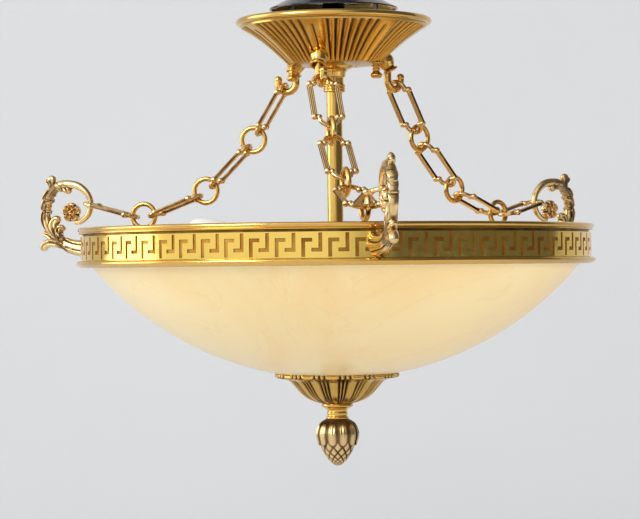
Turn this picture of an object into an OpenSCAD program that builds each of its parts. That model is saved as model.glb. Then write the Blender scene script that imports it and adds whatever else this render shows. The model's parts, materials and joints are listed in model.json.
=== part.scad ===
// Glass pendant light: fluted brass canopy, central stem, three hanging chains,
// a key-pattern ring with scroll arms, and a shallow glass bowl with three lamps.
// Origin: centre of the ceiling plate's top face. +Z is up, the first arm points to -Y.

/* [Ceiling plate and canopy] */
// Radius of the plate's flat face against the ceiling
plate_top_r = 40.5; // [38:0.5:46]
// Radius of the plate's lower edge
plate_rim_r = 52; // [48:0.5:60]
// Height of the plate
plate_h = 7; // [6:0.5:9]
// Sheet thickness of the plate
plate_wall = 1.5; // [1:0.1:2.5]
// Distance between the two ceiling screws
screw_spacing = 69.85; // [60:0.05:70]
// Radius of a ceiling screw hole
screw_hole_r = 2.4; // [2.2:0.1:3]
// Distance from the ceiling to the widest line of the canopy
canopy_drop = 14.7; // [12:0.1:20]
// Radius of the canopy at its rolled rim
canopy_r = 79.4; // [74:0.1:88]
// Radius of the rolled rim's bead
canopy_bead_r = 2.6; // [1.8:0.1:3.2]
// Height of the canopy from rim line to small end
canopy_h = 35.8; // [32:0.1:42]
// Radius of the canopy's small end
canopy_end_r = 37.5; // [35:0.1:39]
// Wall of the canopy
canopy_wall = 2.2; // [1.8:0.1:2.8]
// Depth of the flutes cut in canopy and bottom cap
flute_depth = 1; // [0.6:0.1:1.2]
// Width of one flute groove
flute_w = 1.3; // [0.8:0.1:1.8]
// Number of broad petals round the canopy
canopy_groups = 7; // [5:1:8]
// Number of narrow petals between two broad ones
canopy_narrow = 6; // [4:1:7]

/* [Nipple, collar and stem] */
// Outer radius of the threaded nipple
nipple_r = 5; // [4.5:0.1:5.5]
// Bore radius of the nipple
nipple_bore_r = 3.6; // [3:0.1:3.9]
// Radius of the lock collar's flange
collar_r = 17.5; // [15:0.1:20]
// Height of the lock collar
collar_h = 15.5; // [12:0.1:20]
// Height of the ribbed nut on the stem
stem_nut_h = 7.9; // [6:0.1:10]
// Radius over the ribs of the stem nut
stem_nut_r = 9; // [8.4:0.1:11]
// Outer radius of the stem tube
stem_r = 6.35; // [6:0.05:7]
// Across-flats width of the hexagon nuts on the nipple
locknut_af = 16; // [14:0.5:18]

/* [Hooks] */
// Radius of the circle that the hooks stand on
hook_circle_r = 45; // [44:0.5:47]
// Turn of the canopy's hooks against the scroll arms, in degrees
hook_turn = -24.4; // [-30:0.1:-10]
// Radius where a hook's bell sits on the canopy's slope
hook_seat_r = 43.3; // [42.5:0.1:45]
// Radius of the bell's foot at the top of a hook
hook_bell_r = 7.2; // [6.6:0.1:7.6]
// Length of the bell along its own axis
hook_bell_h = 9.2; // [8:0.1:10]
// Radius of the hook's wire
hook_wire_r = 3; // [2.6:0.1:3.2]
// Centreline radius of the hook's bend
hook_bend_r = 7.5; // [7:0.1:9]
// Distance from the canopy's small end to the centre of the bend
hook_bend_drop = 12; // [11:0.1:16]
// Radius of a hook's threaded stud
hook_stud_r = 2.4; // [2:0.1:3]
// Length that the hook's tip rises above the middle of its bend
hook_tip_h = 2.6; // [1:0.1:4]
// Thickness of the pad in the canopy that a hook's nut bears on
hook_seat_h = 4.6; // [4:0.1:6]

/* [Canopy knobs] */
// Turn of the line through the two knobs against the ceiling screws, in degrees
knob_turn = -28.8; // [-34:0.1:-22]
// Radius of the circle that the knobs stand on
knob_circle_r = 36.2; // [34.5:0.1:37]
// Height of a turned knob
knob_h = 13.2; // [12:0.1:15]
// Radius of a turned knob
knob_r = 4.9; // [4.4:0.1:5.4]
// Radius of the stud that a knob turns on
knob_stud_r = 2; // [1.6:0.1:2.2]

/* [Chains] */
// Length of a link over its two bows
link_len = 51.3; // [50:0.1:54]
// Distance between the middles of a link's two bars
link_w = 22; // [20:0.5:26]
// Radius of a link's bow wire
bow_wire_r = 1.9; // [1.6:0.1:2.1]
// Centreline radius of a link's bow
bow_r = 7.5; // [7:0.1:8.5]
// Width of a reeded bar
bar_w = 4.2; // [3.6:0.1:5]
// Thickness of a reeded bar
bar_t = 2.6; // [2:0.1:3]
// Radius of the beads at the bars' ends
bead_r = 2.7; // [2.5:0.1:3.1]
// Outer diameter of a chain ring
ring_d = 24; // [22:0.5:27]
// Wire radius of a chain ring
ring_wire_r = 2; // [1.7:0.1:2.3]
// Play between two chain pieces where they hang in each other
link_play = 0.3; // [0.2:0.05:0.5]

/* [Key-pattern ring] */
// Distance from the ceiling to the top of the ring
ring_drop = 182.5; // [176:0.5:190]
// Radius of the key-pattern band
band_r = 205.7; // [200:0.1:212]
// Height of the key-pattern band
band_h = 19.2; // [18:0.1:22]
// Thickness of the embossed strip
strip_t = 2; // [1.6:0.1:2.6]
// Height of the upper and the lower moulding
mould_h = 5.3; // [4:0.1:7]
// How far the upper moulding stands proud of the band
upper_proud = 2.3; // [1.5:0.1:3.5]
// How far the lower moulding stands proud of the band
lower_proud = 3.5; // [2:0.1:4]
// Groove between the upper moulding and the band
mould_groove = 1.8; // [1:0.1:2.5]
// Wall of the carrier ring behind the strip
carrier_t = 2; // [1.5:0.1:3]
// Number of key motifs round the band
key_count = 66; // [60:2:70]
// Width of the pressed key line
key_line = 2.8; // [2:0.1:3.2]
// Height of the key pattern
key_h = 17.6; // [16:0.1:17.8]
// Width of one key motif, its two hooked lines side by side
key_w = 15.3; // [14:0.1:16.2]
// Length of the hook at the end of a key line
key_hook = 8; // [6:0.1:8.4]
// Height of that hook's outer edge above the band's middle
key_hook_up = 5; // [4:0.1:6]
// Depth of the pressed key line
key_depth = 0.9; // [0.5:0.1:1.2]

/* [Scroll arms] */
// Height of the seat of an arm's foot on the band
foot_h = 17.8; // [15:0.1:17.8]
// Height of the leaf in front of the foot
leaf_h = 22; // [19:0.5:24]
// Width of that leaf
leaf_w = 17.4; // [15:0.1:20]
// Thickness of that leaf
leaf_t = 2.2; // [1.6:0.1:3]
// Radius of the rosette in the scroll's eye
rosette_r = 8.3; // [7.5:0.1:8.6]
// Thickness of the rosette through the arm
rosette_t = 9; // [7:0.5:11]
// Radius of the arm screws
arm_screw_r = 2; // [1.5:0.1:2.4]

/* [Glass bowl] */
// Gap between the bowl's rim and the wall of the ring
bowl_side_gap = 0.2; // [0.1:0.05:0.6]
// Wall of the glass
bowl_wall = 5; // [4:0.1:6]
// How far the bowl's rim stands above the ring's lower edge
bowl_rim_up = 5.7; // [5:0.1:6.5]
// Depth of the bowl, from rim to bottom
bowl_depth = 97.6; // [92:0.2:104]
// Radius of the hole at the bottom of the bowl
bowl_hole_r = 6.5; // [6:0.1:9]
// Radius of the steel washer inside the bowl
washer_r = 22; // [18:0.5:26]

/* [Bottom cap and finial] */
// Radius of the bottom cap
cap_r = 50.6; // [46:0.1:56]
// Height of the cap's plain rim
cap_rim_h = 2.9; // [2:0.1:4]
// Height of the cap from rim to neck
cap_h = 23.9; // [22:0.1:28]
// Wall of the bottom cap
cap_wall = 1.8; // [1.4:0.1:2.2]
// Number of broad petals on the cap
cap_groups = 15; // [11:1:16]
// Radius of the collar between cap and finial
cap_nut_r = 12.8; // [11:0.1:14]
// Height of the turned nut between cap and finial
cap_nut_h = 13; // [11:0.1:16]
// Largest radius of the acorn finial
finial_r = 16.8; // [15:0.1:19]
// Height of the acorn finial
finial_h = 37.9; // [34:0.1:44]

/* [Lamps] */
// Radius of the lamp cluster's body
cluster_r = 23; // [21:0.5:26]
// Height of the lamp cluster's body
cluster_h = 34; // [30:0.5:40]
// Height of the lamp axes' root above the bowl's bottom
lamp_root_h = 60; // [58:0.5:66]
// Upward tilt of the third lamp, whose tip shows above the ring, in degrees
lamp_tilt_high = 34; // [31:0.5:36]
// Upward tilt of the other two lamps, in degrees
lamp_tilt_low = 30; // [26:0.5:34]
// Turn of the lamps against the scroll arms, in degrees
lamp_turn = 13.2; // [0:0.1:30]
// Radius of a lampholder
holder_r = 17.5; // [16.5:0.1:19]
// Length of a lampholder
holder_len = 40; // [36:0.5:44]
// Radius of a lamp base
base_r = 13.2; // [13:0.1:13.4]
// Length of a lamp base
base_len = 25; // [22:0.5:27]
// Radius of a lamp's bulb
bulb_r = 20; // [18:0.5:24]
// Length of a bulb beyond its holder
bulb_len = 74; // [68:0.5:80]
// Wall of a bulb's glass
bulb_wall = 1; // [0.8:0.1:1.4]

/* [Hidden] */
$fn = 48;
arm_count = 3;
ring_count = 3;
link_count = 4;
fit = 0.05;             // radial clearance of threads and press-like seats
seat_gap = 0.3;         // clearance between curved faces that only rest on each other
turn_gap = 0.08;        // running clearance of pieces that turn
nut_h = 5;
nipple_top = -plate_wall;
canopy_end_z = -canopy_drop - canopy_h;
canopy_floor = 1.6;
knob_bore = 6;          // depth of the thread in a knob
collar_z = canopy_end_z - collar_h;
stem_nut_z = collar_z - stem_nut_h;
nipple_end_z = collar_z - 12;

// Levels of the ring and the bowl
ring_top_z = -ring_drop;
band_top_z = ring_top_z - mould_h - mould_groove;
band_z = band_top_z - band_h;
band_mid_z = band_z + band_h/2;
ring_z = band_z - 0.1 - mould_h;
carrier_r = band_r - strip_t;
rim_z = ring_z + bowl_rim_up;
rim_r = carrier_r - carrier_t - bowl_side_gap;
bowl_sphere_r = (rim_r*rim_r + bowl_depth*bowl_depth)/(2*bowl_depth);
bowl_bottom_z = rim_z - bowl_depth;
bowl_centre_z = bowl_bottom_z + bowl_sphere_r;
bowl_inner_bottom_z = bowl_bottom_z + bowl_wall;
function bowl_z_at(r, sphere_r) = bowl_centre_z - sqrt(pow(sphere_r, 2) - r*r);

// Levels of the cap, the nut and the finial
cap_lip = 2.8;          // width of the cap's edge under the glass
cap_top_z = bowl_z_at(cap_r - 0.6, bowl_sphere_r) - seat_gap;
cap_inner_z = bowl_z_at(cap_r - 0.6 - cap_lip, bowl_sphere_r) - seat_gap;
cap_end_z = cap_top_z - cap_h;
cap_end_r = 14;
cap_nut_z = cap_end_z - cap_nut_h;
finial_tip_z = cap_nut_z - finial_h;

// Scroll arm: centreline points as [out from the band, up from its middle, width, thickness]
scroll_path = [
    [1.5, 0.4, 9, 9.4], [14, 0.9, 8, 8.6], [33.3, 2.5, 8, 8.6], [46.3, 9.2, 8.5, 8.6],
    [55.9, 18.2, 8, 8.6], [58.6, 31.7, 8, 8.6], [54.3, 47.2, 8, 8.6], [41.3, 55.9, 7.5, 8],
    [28.3, 54.7, 6.5, 7], [18.8, 47.5, 5.2, 6], [15.8, 38.2, 4.6, 5], [18.8, 28.7, 4.4, 5],
    [26.5, 22.6, 4, 4.6], [33, 23.2, 3.4, 4]
];
scroll_hold = 10;       // the point of the path that the last link hangs on
rosette_at = [34, 32.2];
// Side leaf of the arm, its two spurs, each a short tapering path of the same form
leaf_path = [[38, 5, 4, 9], [50, 8.5, 8, 9], [58, 5.5, 6, 8.6], [62.5, -1, 3, 7.4]];
spur_path = [[46, 50, 6, 7], [52, 56.5, 5, 5], [55.3, 61.7, 2, 2.4]];
barb_path = [[52, 10, 5, 7], [58.5, 12.5, 4.6, 7], [62, 13.5, 3, 7]];
// Balls on the scroll: [out, up, radius], and the point of the rod that each one's neck starts from
spur_balls = [[55.3, 61.7, 2.2], [38.9, 49.6, 2.7], [48.8, 22.9, 2.7]];
ball_roots = [[52, 56.5], [40.5, 55.6], [57, 24]];
scroll_steps = 4;
scroll_sides = 10;

// Chain: every element hangs in the next, so the chain is a row of straight members
link_inner = link_len - 4*bow_wire_r;
ring_r = ring_d/2 - ring_wire_r;
ring_inner = ring_d - 4*ring_wire_r;
hold_r = scroll_path[scroll_hold][2]/2;
hook_lead = hook_bend_r - hook_wire_r - link_play;
arm_lead = hold_r + link_play;
ring_span = ring_inner - 2*link_play;
member_len = [link_inner + hook_lead, ring_span, link_inner, ring_span,
              link_inner, ring_span, link_inner - arm_lead];
bar_len = link_len - 2*(bow_r + bow_wire_r) - 1.2;
link_weight = 2*bar_len*bar_w*bar_t*0.8 + 2*PI*bow_r*PI*pow(bow_wire_r, 2) + 8*4/3*PI*pow(bead_r, 3)*0.8;
ring_weight = 2*PI*ring_r*PI*pow(ring_wire_r, 2);
member_weight = [for (i = [0:6]) (i % 2 == 0 ? link_weight : ring_weight)/ring_weight];

function arm_angle(k) = -90 + 120*k;
function hook_angle(k) = arm_angle(k) + hook_turn;
function polar(r, a) = [r*cos(a), r*sin(a)];
function hook_xy(k) = polar(hook_circle_r, hook_angle(k));
function hold_xy(k) = polar(band_r + scroll_path[scroll_hold][0], arm_angle(k));
hold_z = band_mid_z + scroll_path[scroll_hold][1];
bend_z = canopy_end_z - hook_bend_drop;
chain_run = norm(hold_xy(0) - hook_xy(0));
chain_azimuth = atan2(hold_xy(0)[1] - hook_xy(0)[1], hold_xy(0)[0] - hook_xy(0)[0]);
chain_dx = chain_run - hook_bend_r;
chain_dz = hold_z - bend_z;

// Sum of the first n entries of a list
function sum(v, n) = n <= 0 ? 0 : v[n - 1] + sum(v, n - 1);
// Slope angle of member i for a horizontal pull h and an upward pull v at the hook
function member_angle(h, v, i) = -atan2(v - sum(member_weight, i) - member_weight[i]/2, h);
function reach(h, v) = [
    sum([for (i = [0:6]) member_len[i]*cos(member_angle(h, v, i))], 7),
    sum([for (i = [0:6]) member_len[i]*sin(member_angle(h, v, i))], 7)];
// Newton steps that bring the chain's far end to the arm
function settle(h, v, n) = n == 0 ? [h, v] :
    let (d = 0.001, e = reach(h, v) - [chain_dx, chain_dz],
         eh = (reach(h + d, v) - reach(h, v))/d, ev = (reach(h, v + d) - reach(h, v))/d,
         det = eh[0]*ev[1] - ev[0]*eh[1],
         step_h = (e[0]*ev[1] - ev[0]*e[1])/det, step_v = (eh[0]*e[1] - e[0]*eh[1])/det)
    settle(max(0.3*h, h - step_h), v - step_v, n - 1);
pull = settle(3.5, 7, 25);
chain_angle = [for (i = [0:6]) member_angle(pull[0], pull[1], i)];
// Points between members, from the centre of the hook's bend to the arm's wire
chain_point = [for (i = [0:7]) [
    sum([for (j = [0:6]) member_len[j]*cos(chain_angle[j])], i),
    sum([for (j = [0:6]) member_len[j]*sin(chain_angle[j])], i)]];
function along(i, t) = chain_point[i] + t*[cos(chain_angle[i]), sin(chain_angle[i])];

// Lamps
lamp_root_z = bowl_bottom_z + lamp_root_h;
lamp_root_r = cluster_r - 1.3;
cluster_z = lamp_root_z - cluster_h/2;
stem_end_z = cluster_z + cluster_h - 8;
rod_top_z = cluster_z + 12;
rod_end_z = cap_nut_z - 10;
washer_z = bowl_z_at(washer_r, bowl_sphere_r - bowl_wall) + seat_gap;
function lamp_angle(k) = arm_angle(k) + lamp_turn;
function lamp_tilt(k) = k == 2 ? lamp_tilt_high : lamp_tilt_low;
nipple_len = 6;         // the short pipe between the cluster and a lampholder

brass = "#c8963e";
steel = "#8f9396";
black_steel = "#2b2b2e";
glass = "#f4dcae";
rubber = "#3a3a3a";
porcelain = "#efeae0";
frosted = "#fbf6ec";

// Ring of revolution with a rectangular section
module washer(outer_r, inner_r, z0, z1) {
    rotate_extrude() translate([inner_r, z0]) square([outer_r - inner_r, z1 - z0]);
}

// Hexagon nut standing on z0 with a plain bore
module hex_nut(across_flats, bore_r, z0, h) {
    translate([0, 0, z0]) difference() {
        cylinder(r = across_flats/2/cos(30), h = h, $fn = 6);
        translate([0, 0, -1]) cylinder(r = bore_r, h = h + 2);
    }
}

module arms() {
    for (k = [0:arm_count - 1]) rotate(arm_angle(k)) children();
}

// Pressed steel dish against the ceiling, with a threaded boss for the nipple
module ceiling_plate() {
    color(black_steel) difference() {
        union() {
            rotate_extrude() polygon([
                [0, 0], [plate_top_r, 0], [plate_rim_r, -plate_h + 1], [plate_rim_r, -plate_h],
                [plate_rim_r - plate_wall, -plate_h], [plate_rim_r - plate_wall, -plate_h + 1],
                [plate_top_r - plate_wall/2, -plate_wall], [0, -plate_wall]]);
            translate([0, 0, -plate_h]) cylinder(r = nipple_r + 4, h = plate_h);
        }
        translate([0, 0, -plate_h - 1]) cylinder(r = nipple_r + fit, h = plate_h + 2);
        for (side = [-1, 1]) translate([side*screw_spacing/2, 0, -plate_wall - 1])
            cylinder(r = screw_hole_r, h = plate_wall + 2);
    }
}

module knob_places() {
    for (side = [0, 180]) rotate(knob_turn + side) translate([knob_circle_r, 0, 0]) children();
}

// Two studs from the plate down through the canopy, one for each knob
module canopy_studs() {
    color(steel) knob_places() translate([0, 0, canopy_end_z - knob_bore])
        cylinder(r = knob_stud_r, h = knob_bore - canopy_end_z - plate_wall);
}

// Screw for the earth wire, beside the nipple's boss
module ground_screw() {
    color("#3f8f4a") translate([0, (plate_top_r + nipple_r)/2, -plate_wall - 4.5]) {
        cylinder(r = 3.2, h = 2.4);
        cylinder(r = 1.7, h = 4.5);
    }
}

module nipple() {
    color(steel) washer(nipple_r, nipple_bore_r, nipple_end_z, nipple_top);
}

module nipple_locknut() {
    color(steel) hex_nut(locknut_af, nipple_r + fit, canopy_end_z + canopy_floor, nut_h);
}

// Canopy outline from the rim line to the small end, a curve through three poles
canopy_middle = [canopy_end_r + 17.1, canopy_end_z + 7.1];
function canopy_curve(t) = pow(1 - t, 2)*[canopy_r - 2.9, -canopy_drop - 3.3] + 2*t*(1 - t)*canopy_middle
    + t*t*[canopy_end_r, canopy_end_z];
canopy_steps = 7;
// The same curve moved inwards by a depth, square to the wall's mean slope
wall_slope = atan2(canopy_h, canopy_r - canopy_end_r);
function canopy_inner(t, depth) = canopy_curve(t) + depth*[-sin(wall_slope), cos(wall_slope)];
function canopy_side(depth) = [for (i = [0:canopy_steps]) canopy_inner(i/canopy_steps, depth)];
function reversed(v) = [for (i = [len(v) - 1:-1:0]) v[i]];

// Angles of the grooves: narrow petals side by side, then one broad petal
group_turn = 360/canopy_groups;
narrow_turn = group_turn*0.107;
canopy_grooves = [for (g = [0:canopy_groups - 1], i = [0:canopy_narrow]) g*group_turn + i*narrow_turn];
canopy_veins = [for (g = [0:canopy_groups - 1]) g*group_turn + (canopy_narrow + 1.4)*narrow_turn];

// Thin radial blade that cuts one groove of a fluted dish
module groove_blade(points, w) {
    rotate([90, 0, 0]) translate([0, 0, -w/2]) linear_extrude(w) polygon(points);
}

// Place on the canopy's curve where the hooks' bells sit, and the slope there
seat_a = canopy_curve(0)[0] - 2*canopy_middle[0] + canopy_curve(1)[0];
seat_b = 2*(canopy_middle[0] - canopy_curve(0)[0]);
seat_c = canopy_curve(0)[0] - hook_seat_r;
seat_t = 2*seat_c/(sqrt(seat_b*seat_b - 4*seat_a*seat_c) - seat_b);
seat_z = canopy_curve(seat_t)[1];
seat_slope = let (d = canopy_curve(seat_t + 0.01) - canopy_curve(seat_t - 0.01)) atan2(-d[1], -d[0]);
// A bell's own frame against the radius: Z is the bell's axis, square to the slope
module on_seat() {
    translate([hook_seat_r, 0, seat_z]) rotate([0, -seat_slope, 0]) children();
}
module hook_seats() {
    for (k = [0:arm_count - 1]) rotate(hook_angle(k)) on_seat() children();
}

module canopy() {
    blade = concat(canopy_side(flute_depth), [[canopy_end_r - 6, canopy_end_z - 5],
        [canopy_r + 5, canopy_end_z - 5], [canopy_r + 5, -canopy_drop - 3.3]]);
    vein = concat([for (i = [1:canopy_steps]) canopy_inner(i/canopy_steps, flute_depth)],
        [[canopy_end_r - 6, canopy_end_z - 5], [canopy_r + 5, canopy_end_z - 5], [canopy_r, -canopy_drop - 10]]);
    color(brass) difference() {
        union() {
            difference() {
                union() {
                    rotate_extrude() polygon(concat(
                        [[canopy_r - 3.4, -canopy_drop + 1]], canopy_side(0), [[0, canopy_end_z]],
                        [[0, canopy_end_z + canopy_floor], [canopy_end_r - 4, canopy_end_z + canopy_floor]],
                        reversed([for (i = [0:canopy_steps - 1]) canopy_inner(i/canopy_steps, canopy_wall)]),
                        [[canopy_r - 6.2, -canopy_drop + 1]]));
                    translate([0, 0, -canopy_drop]) rotate_extrude()
                        translate([canopy_r - canopy_bead_r, 0]) circle(r = canopy_bead_r);
                }
                for (a = canopy_grooves) rotate(a) groove_blade(blade, flute_w);
                for (a = canopy_veins) rotate(a) groove_blade(vein, flute_w);
            }
            hook_seats() cylinder(r = hook_bell_r, h = hook_seat_h);
        }
        hook_seats() translate([0, 0, -1]) cylinder(r = hook_stud_r + fit, h = hook_seat_h + 2);
        knob_places() translate([0, 0, canopy_end_z - 1]) cylinder(r = knob_stud_r + seat_gap, h = canopy_floor + 8);
        translate([0, 0, canopy_end_z - 1]) cylinder(r = nipple_r + seat_gap, h = canopy_floor + 2);
    }
}

hook_nut_h = 3.2;
module hook_nuts() {
    color(steel) hook_seats() hex_nut(8, hook_stud_r + fit, hook_seat_h + 0.05, hook_nut_h);
}

// Turned knobs that hold the canopy up on its two studs: a foot, two beads and a flared cup
module canopy_knobs() {
    r = knob_r;
    color(brass) knob_places() translate([0, 0, canopy_end_z - 0.1]) difference() {
        rotate_extrude() polygon([
            [0, 0], [r*0.86, 0], [r*0.92, -0.5], [r*0.86, -1.2], [r*0.6, -1.7], [r*0.6, -2.5], [r*0.8, -3.1],
            [r*0.8, -3.9], [r*0.55, -4.4], [r*0.55, -5.1], [r*0.66, -5.6], [r*0.66, -6.4], [r*0.52, -7],
            [r*0.62, -8], [r*0.96, -knob_h + 3.4], [r, -knob_h + 2.4], [r*0.84, -knob_h + 0.8], [r*0.5, -knob_h], [0, -knob_h]]);
        translate([0, 0, -knob_bore]) cylinder(r = knob_stud_r + fit, h = knob_bore + 1);
    }
}

// Collar that clamps the canopy up, turned on the nipple
module lock_collar() {
    h = collar_h;
    color(brass) difference() {
        translate([0, 0, canopy_end_z]) rotate_extrude() polygon([
            [0, 0], [collar_r - 0.8, 0], [collar_r, -0.8], [collar_r, -2.4], [collar_r*0.82, -4.2],
            [collar_r*0.66, -5], [nipple_r + 5.6, -5.2], [nipple_r + 5.6, -6.6], [nipple_r + 4.5, -7],
            [nipple_r + 4, -h*0.72], [nipple_r + 2.6, -h*0.76], [nipple_r + 2.6, -h + 0.1], [0, -h + 0.1]]);
        translate([0, 0, collar_z - 1]) cylinder(r = nipple_r + turn_gap, h = h + 2);
    }
}

// Ribbed nut on the top end of the stem
module stem_nut() {
    rib = (stem_nut_h - 1.5)/3;
    root = stem_nut_r - 1.2;
    color(brass) difference() {
        rotate_extrude() polygon(concat([[0, stem_nut_z]], [for (i = [0:2]) each [
                [root, stem_nut_z + rib*i], [stem_nut_r - 0.35, stem_nut_z + rib*(i + 0.22)],
                [stem_nut_r, stem_nut_z + rib*(i + 0.5)], [stem_nut_r - 0.35, stem_nut_z + rib*(i + 0.78)]]],
            [[root, stem_nut_z + 3*rib], [root, stem_nut_z + stem_nut_h], [0, stem_nut_z + stem_nut_h]]));
        translate([0, 0, stem_nut_z - 1]) cylinder(r = stem_r + fit, h = stem_nut_h + 2);
    }
}

module stem() {
    color(brass) washer(stem_r, nipple_r + fit, stem_end_z, collar_z - 0.2);
}

// Two insulated conductors from the nipple down into the lamp cluster
module lead_wires() {
    wire_r = 1.2;
    color("#e8e4da") for (side = [-1, 1]) translate([side*(wire_r + 0.3), 0, stem_end_z - 3])
        cylinder(r = wire_r, h = nipple_top - stem_end_z + 3);
}

// Hook in its own frame: the shank is on the Z axis, the bend opens to +X. Its bell sits
// square on the canopy's slope and flares to a lip round the hollow that the shank comes out of
module hook() {
    lip = -hook_bell_h;
    color(brass) {
        rotate(hook_angle(0) - chain_azimuth) translate([-hook_circle_r, 0, 0]) on_seat() {
            translate([0, 0, -1]) cylinder(r = hook_stud_r, h = hook_seat_h + hook_nut_h + 3);
            rotate_extrude() polygon([
                [0, -0.1], [hook_bell_r, -0.1], [hook_bell_r, -0.9], [hook_bell_r - 0.7, -1.4], [hook_bell_r - 0.9, -3.2],
                [hook_bell_r - 1.6, -4.8], [hook_bell_r - 3, -6], [hook_bell_r - 2.4, lip + 2.4],
                [hook_bell_r - 0.9, lip + 1.5], [hook_bell_r - 0.5, lip + 0.8], [hook_bell_r - 0.9, lip + 0.1],
                [hook_bell_r - 1.6, lip], [hook_bell_r - 2.8, lip + 0.4], [hook_bell_r - 4.2, -5], [0, -4.6]]);
        }
        translate([0, 0, bend_z]) cylinder(r = hook_wire_r, h = seat_z - 2.6 - bend_z);
        translate([hook_bend_r, 0, bend_z]) rotate([90, 0, 0]) rotate(180) rotate_extrude(angle = 180)
            translate([hook_bend_r, 0]) circle(r = hook_wire_r);
        translate([2*hook_bend_r, 0, bend_z]) cylinder(r = hook_wire_r, h = hook_tip_h);
        translate([2*hook_bend_r, 0, bend_z + hook_tip_h]) sphere(r = hook_wire_r);
    }
}

module hook_of(k) {
    translate(concat(hook_xy(k), [0])) rotate(chain_azimuth + 120*k) hook();
}

// Section of a bar: three reeds on each broad face
module reeded_section() {
    reed = bar_w/3;
    face = [for (i = [-1:1], p = [[-0.5, 0.35], [-0.27, 0], [0.27, 0], [0.5, 0.35]]) [reed*(i + p[0]), bar_t/2 - p[1]]];
    polygon(concat(face, [for (p = face) -p]));
}

// One long link: two reeded bars, beads at their ends and a round bow at each end.
// Each bead is turned so that the seam of its sphere lies clear of what enters it.
module link_shape() {
    bow_x = link_len/2 - bow_wire_r - bow_r;
    for (side = [-1, 1]) {
        translate([-bar_len/2, side*link_w/2, 0]) rotate([90, 0, 90]) linear_extrude(bar_len) reeded_section();
        for (end = [-1, 1]) {
            translate([end*bar_len/2, side*link_w/2, 0]) rotate(atan2(side, end)) sphere(r = bead_r);
            translate([end*bow_x, side*bow_r, 0]) rotate(atan2(-side, -end)) sphere(r = bead_r - 0.2);
        }
        rotate(side < 0 ? 180 : 0) translate([bow_x, 0, 0]) rotate(-90) rotate_extrude(angle = 180)
            translate([bow_r, 0]) circle(r = bow_wire_r);
    }
}

// Places a piece in chain k at a point of the chain's plane, along member i
module in_chain(k, i, point) {
    translate(concat(hook_xy(k), [bend_z])) rotate(chain_azimuth + 120*k)
        translate([hook_bend_r + point[0], 0, point[1]]) rotate([0, -chain_angle[i], 0]) children();
}

module chain_link(k, n) {
    i = 2*(n - 1);
    start = i == 0 ? hook_lead : 0;
    color(brass) in_chain(k - 1, i, along(i, start + link_inner/2)) link_shape();
}

module chain_rings(k) {
    color(brass) for (i = [1:2:5]) in_chain(k - 1, i, along(i, ring_span/2)) rotate([90, 0, 0])
        rotate_extrude() translate([ring_r, 0]) circle(r = ring_wire_r);
}

// Smooth curve through the points of a path
function spline(p, i, t) = let (a = p[max(i - 1, 0)], b = p[i], c = p[i + 1], d = p[min(i + 2, len(p) - 1)])
    0.5*(2*b + (c - a)*t + (2*a - 5*b + 4*c - d)*t*t + (3*b - a - 3*c + d)*t*t*t);
function smooth(p, steps) = concat([for (i = [0:len(p) - 2], s = [0:steps - 1]) spline(p, i, s/steps)],
    [p[len(p) - 1]]);

// Tapering rod with an oval section along a path in the arm's upright plane
module oval_rod(path, steps) {
    q = smooth(path, steps);
    n = len(q);
    m = scroll_sides;
    points = [for (i = [0:n - 1])
        let (a = q[max(i - 1, 0)], b = q[min(i + 1, n - 1)], d = [b[0] - a[0], b[1] - a[1]]/norm([b[0] - a[0], b[1] - a[1]]))
        for (j = [0:m - 1]) [
            q[i][0] + d[1]*q[i][2]/2*cos(360*j/m), q[i][3]/2*sin(360*j/m),
            q[i][1] - d[0]*q[i][2]/2*cos(360*j/m)]];
    sides = [for (i = [0:n - 2], j = [0:m - 1]) each let (a = i*m + j, b = i*m + (j + 1) % m)
        [[a, a + m, b + m], [a, b + m, b]]];
    polyhedron(concat(points), concat(sides, [[for (j = [0:m - 1]) j]], [[for (j = [m - 1:-1:0]) (n - 1)*m + j]]));
}

// Scroll arm in its own frame: +X is out from the band, the foot lies on the band
module scroll_arm() {
    lobe = leaf_w*0.21;
    leaf_out = lower_proud + 0.4;
    color(brass) difference() {
        union() {
            translate([band_r, 0, band_mid_z]) {
                oval_rod(scroll_path, scroll_steps);
                oval_rod(leaf_path, 3);
                oval_rod(spur_path, 3);
                oval_rod(barb_path, 2);
                for (i = [0:len(spur_balls) - 1]) let (b = spur_balls[i], d = b - concat(ball_roots[i], [0]))
                    translate([ball_roots[i][0], 0, ball_roots[i][1]]) rotate([0, atan2(d[0], d[1]), 0]) {
                        cylinder(r = b[2]*0.6, h = norm([d[0], d[1]]));
                        translate([0, 0, norm([d[0], d[1]])]) sphere(r = b[2]);
                    }
                translate([-2, 0, 0]) rotate([0, 90, 0]) cylinder(r = foot_h/2, h = leaf_out + 2.1);
                for (a = [30:60:330]) translate([leaf_out, (leaf_w/2 - lobe)*cos(a)/cos(30), (leaf_h/2 - lobe)*sin(a)])
                    rotate([0, 90, 0]) cylinder(r = lobe, h = leaf_t);
                translate([leaf_out, 0, 0]) rotate([0, 90, 0]) cylinder(r = leaf_w/2 - lobe, h = leaf_t + 0.8);
            }
        }
        translate([0, 0, band_z - 10]) cylinder(r = band_r + fit, h = band_h + 20);
        translate([band_r - 2, 0, band_mid_z]) rotate([0, 90, 0]) cylinder(r = arm_screw_r + fit, h = 12);
    }
}

// Five-petal rosettes, one through the eye of each scroll
module rosettes() {
    petal_r = rosette_r*0.39;
    color(brass) arms() translate([band_r + rosette_at[0], 0, band_mid_z + rosette_at[1]]) rotate([90, 0, 0]) {
        translate([0, 0, -rosette_t/2 + 1.5]) cylinder(r = rosette_r*0.5, h = rosette_t - 3);
        for (p = [0:4]) rotate(72*p + 18) translate([rosette_r - petal_r, 0, -rosette_t/2 + 1.2])
            cylinder(r = petal_r, h = rosette_t - 2.4);
        for (side = [-1, 1]) translate([0, 0, side*(rosette_t/2 - 1.5)]) sphere(r = rosette_r*0.34);
    }
}

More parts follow.
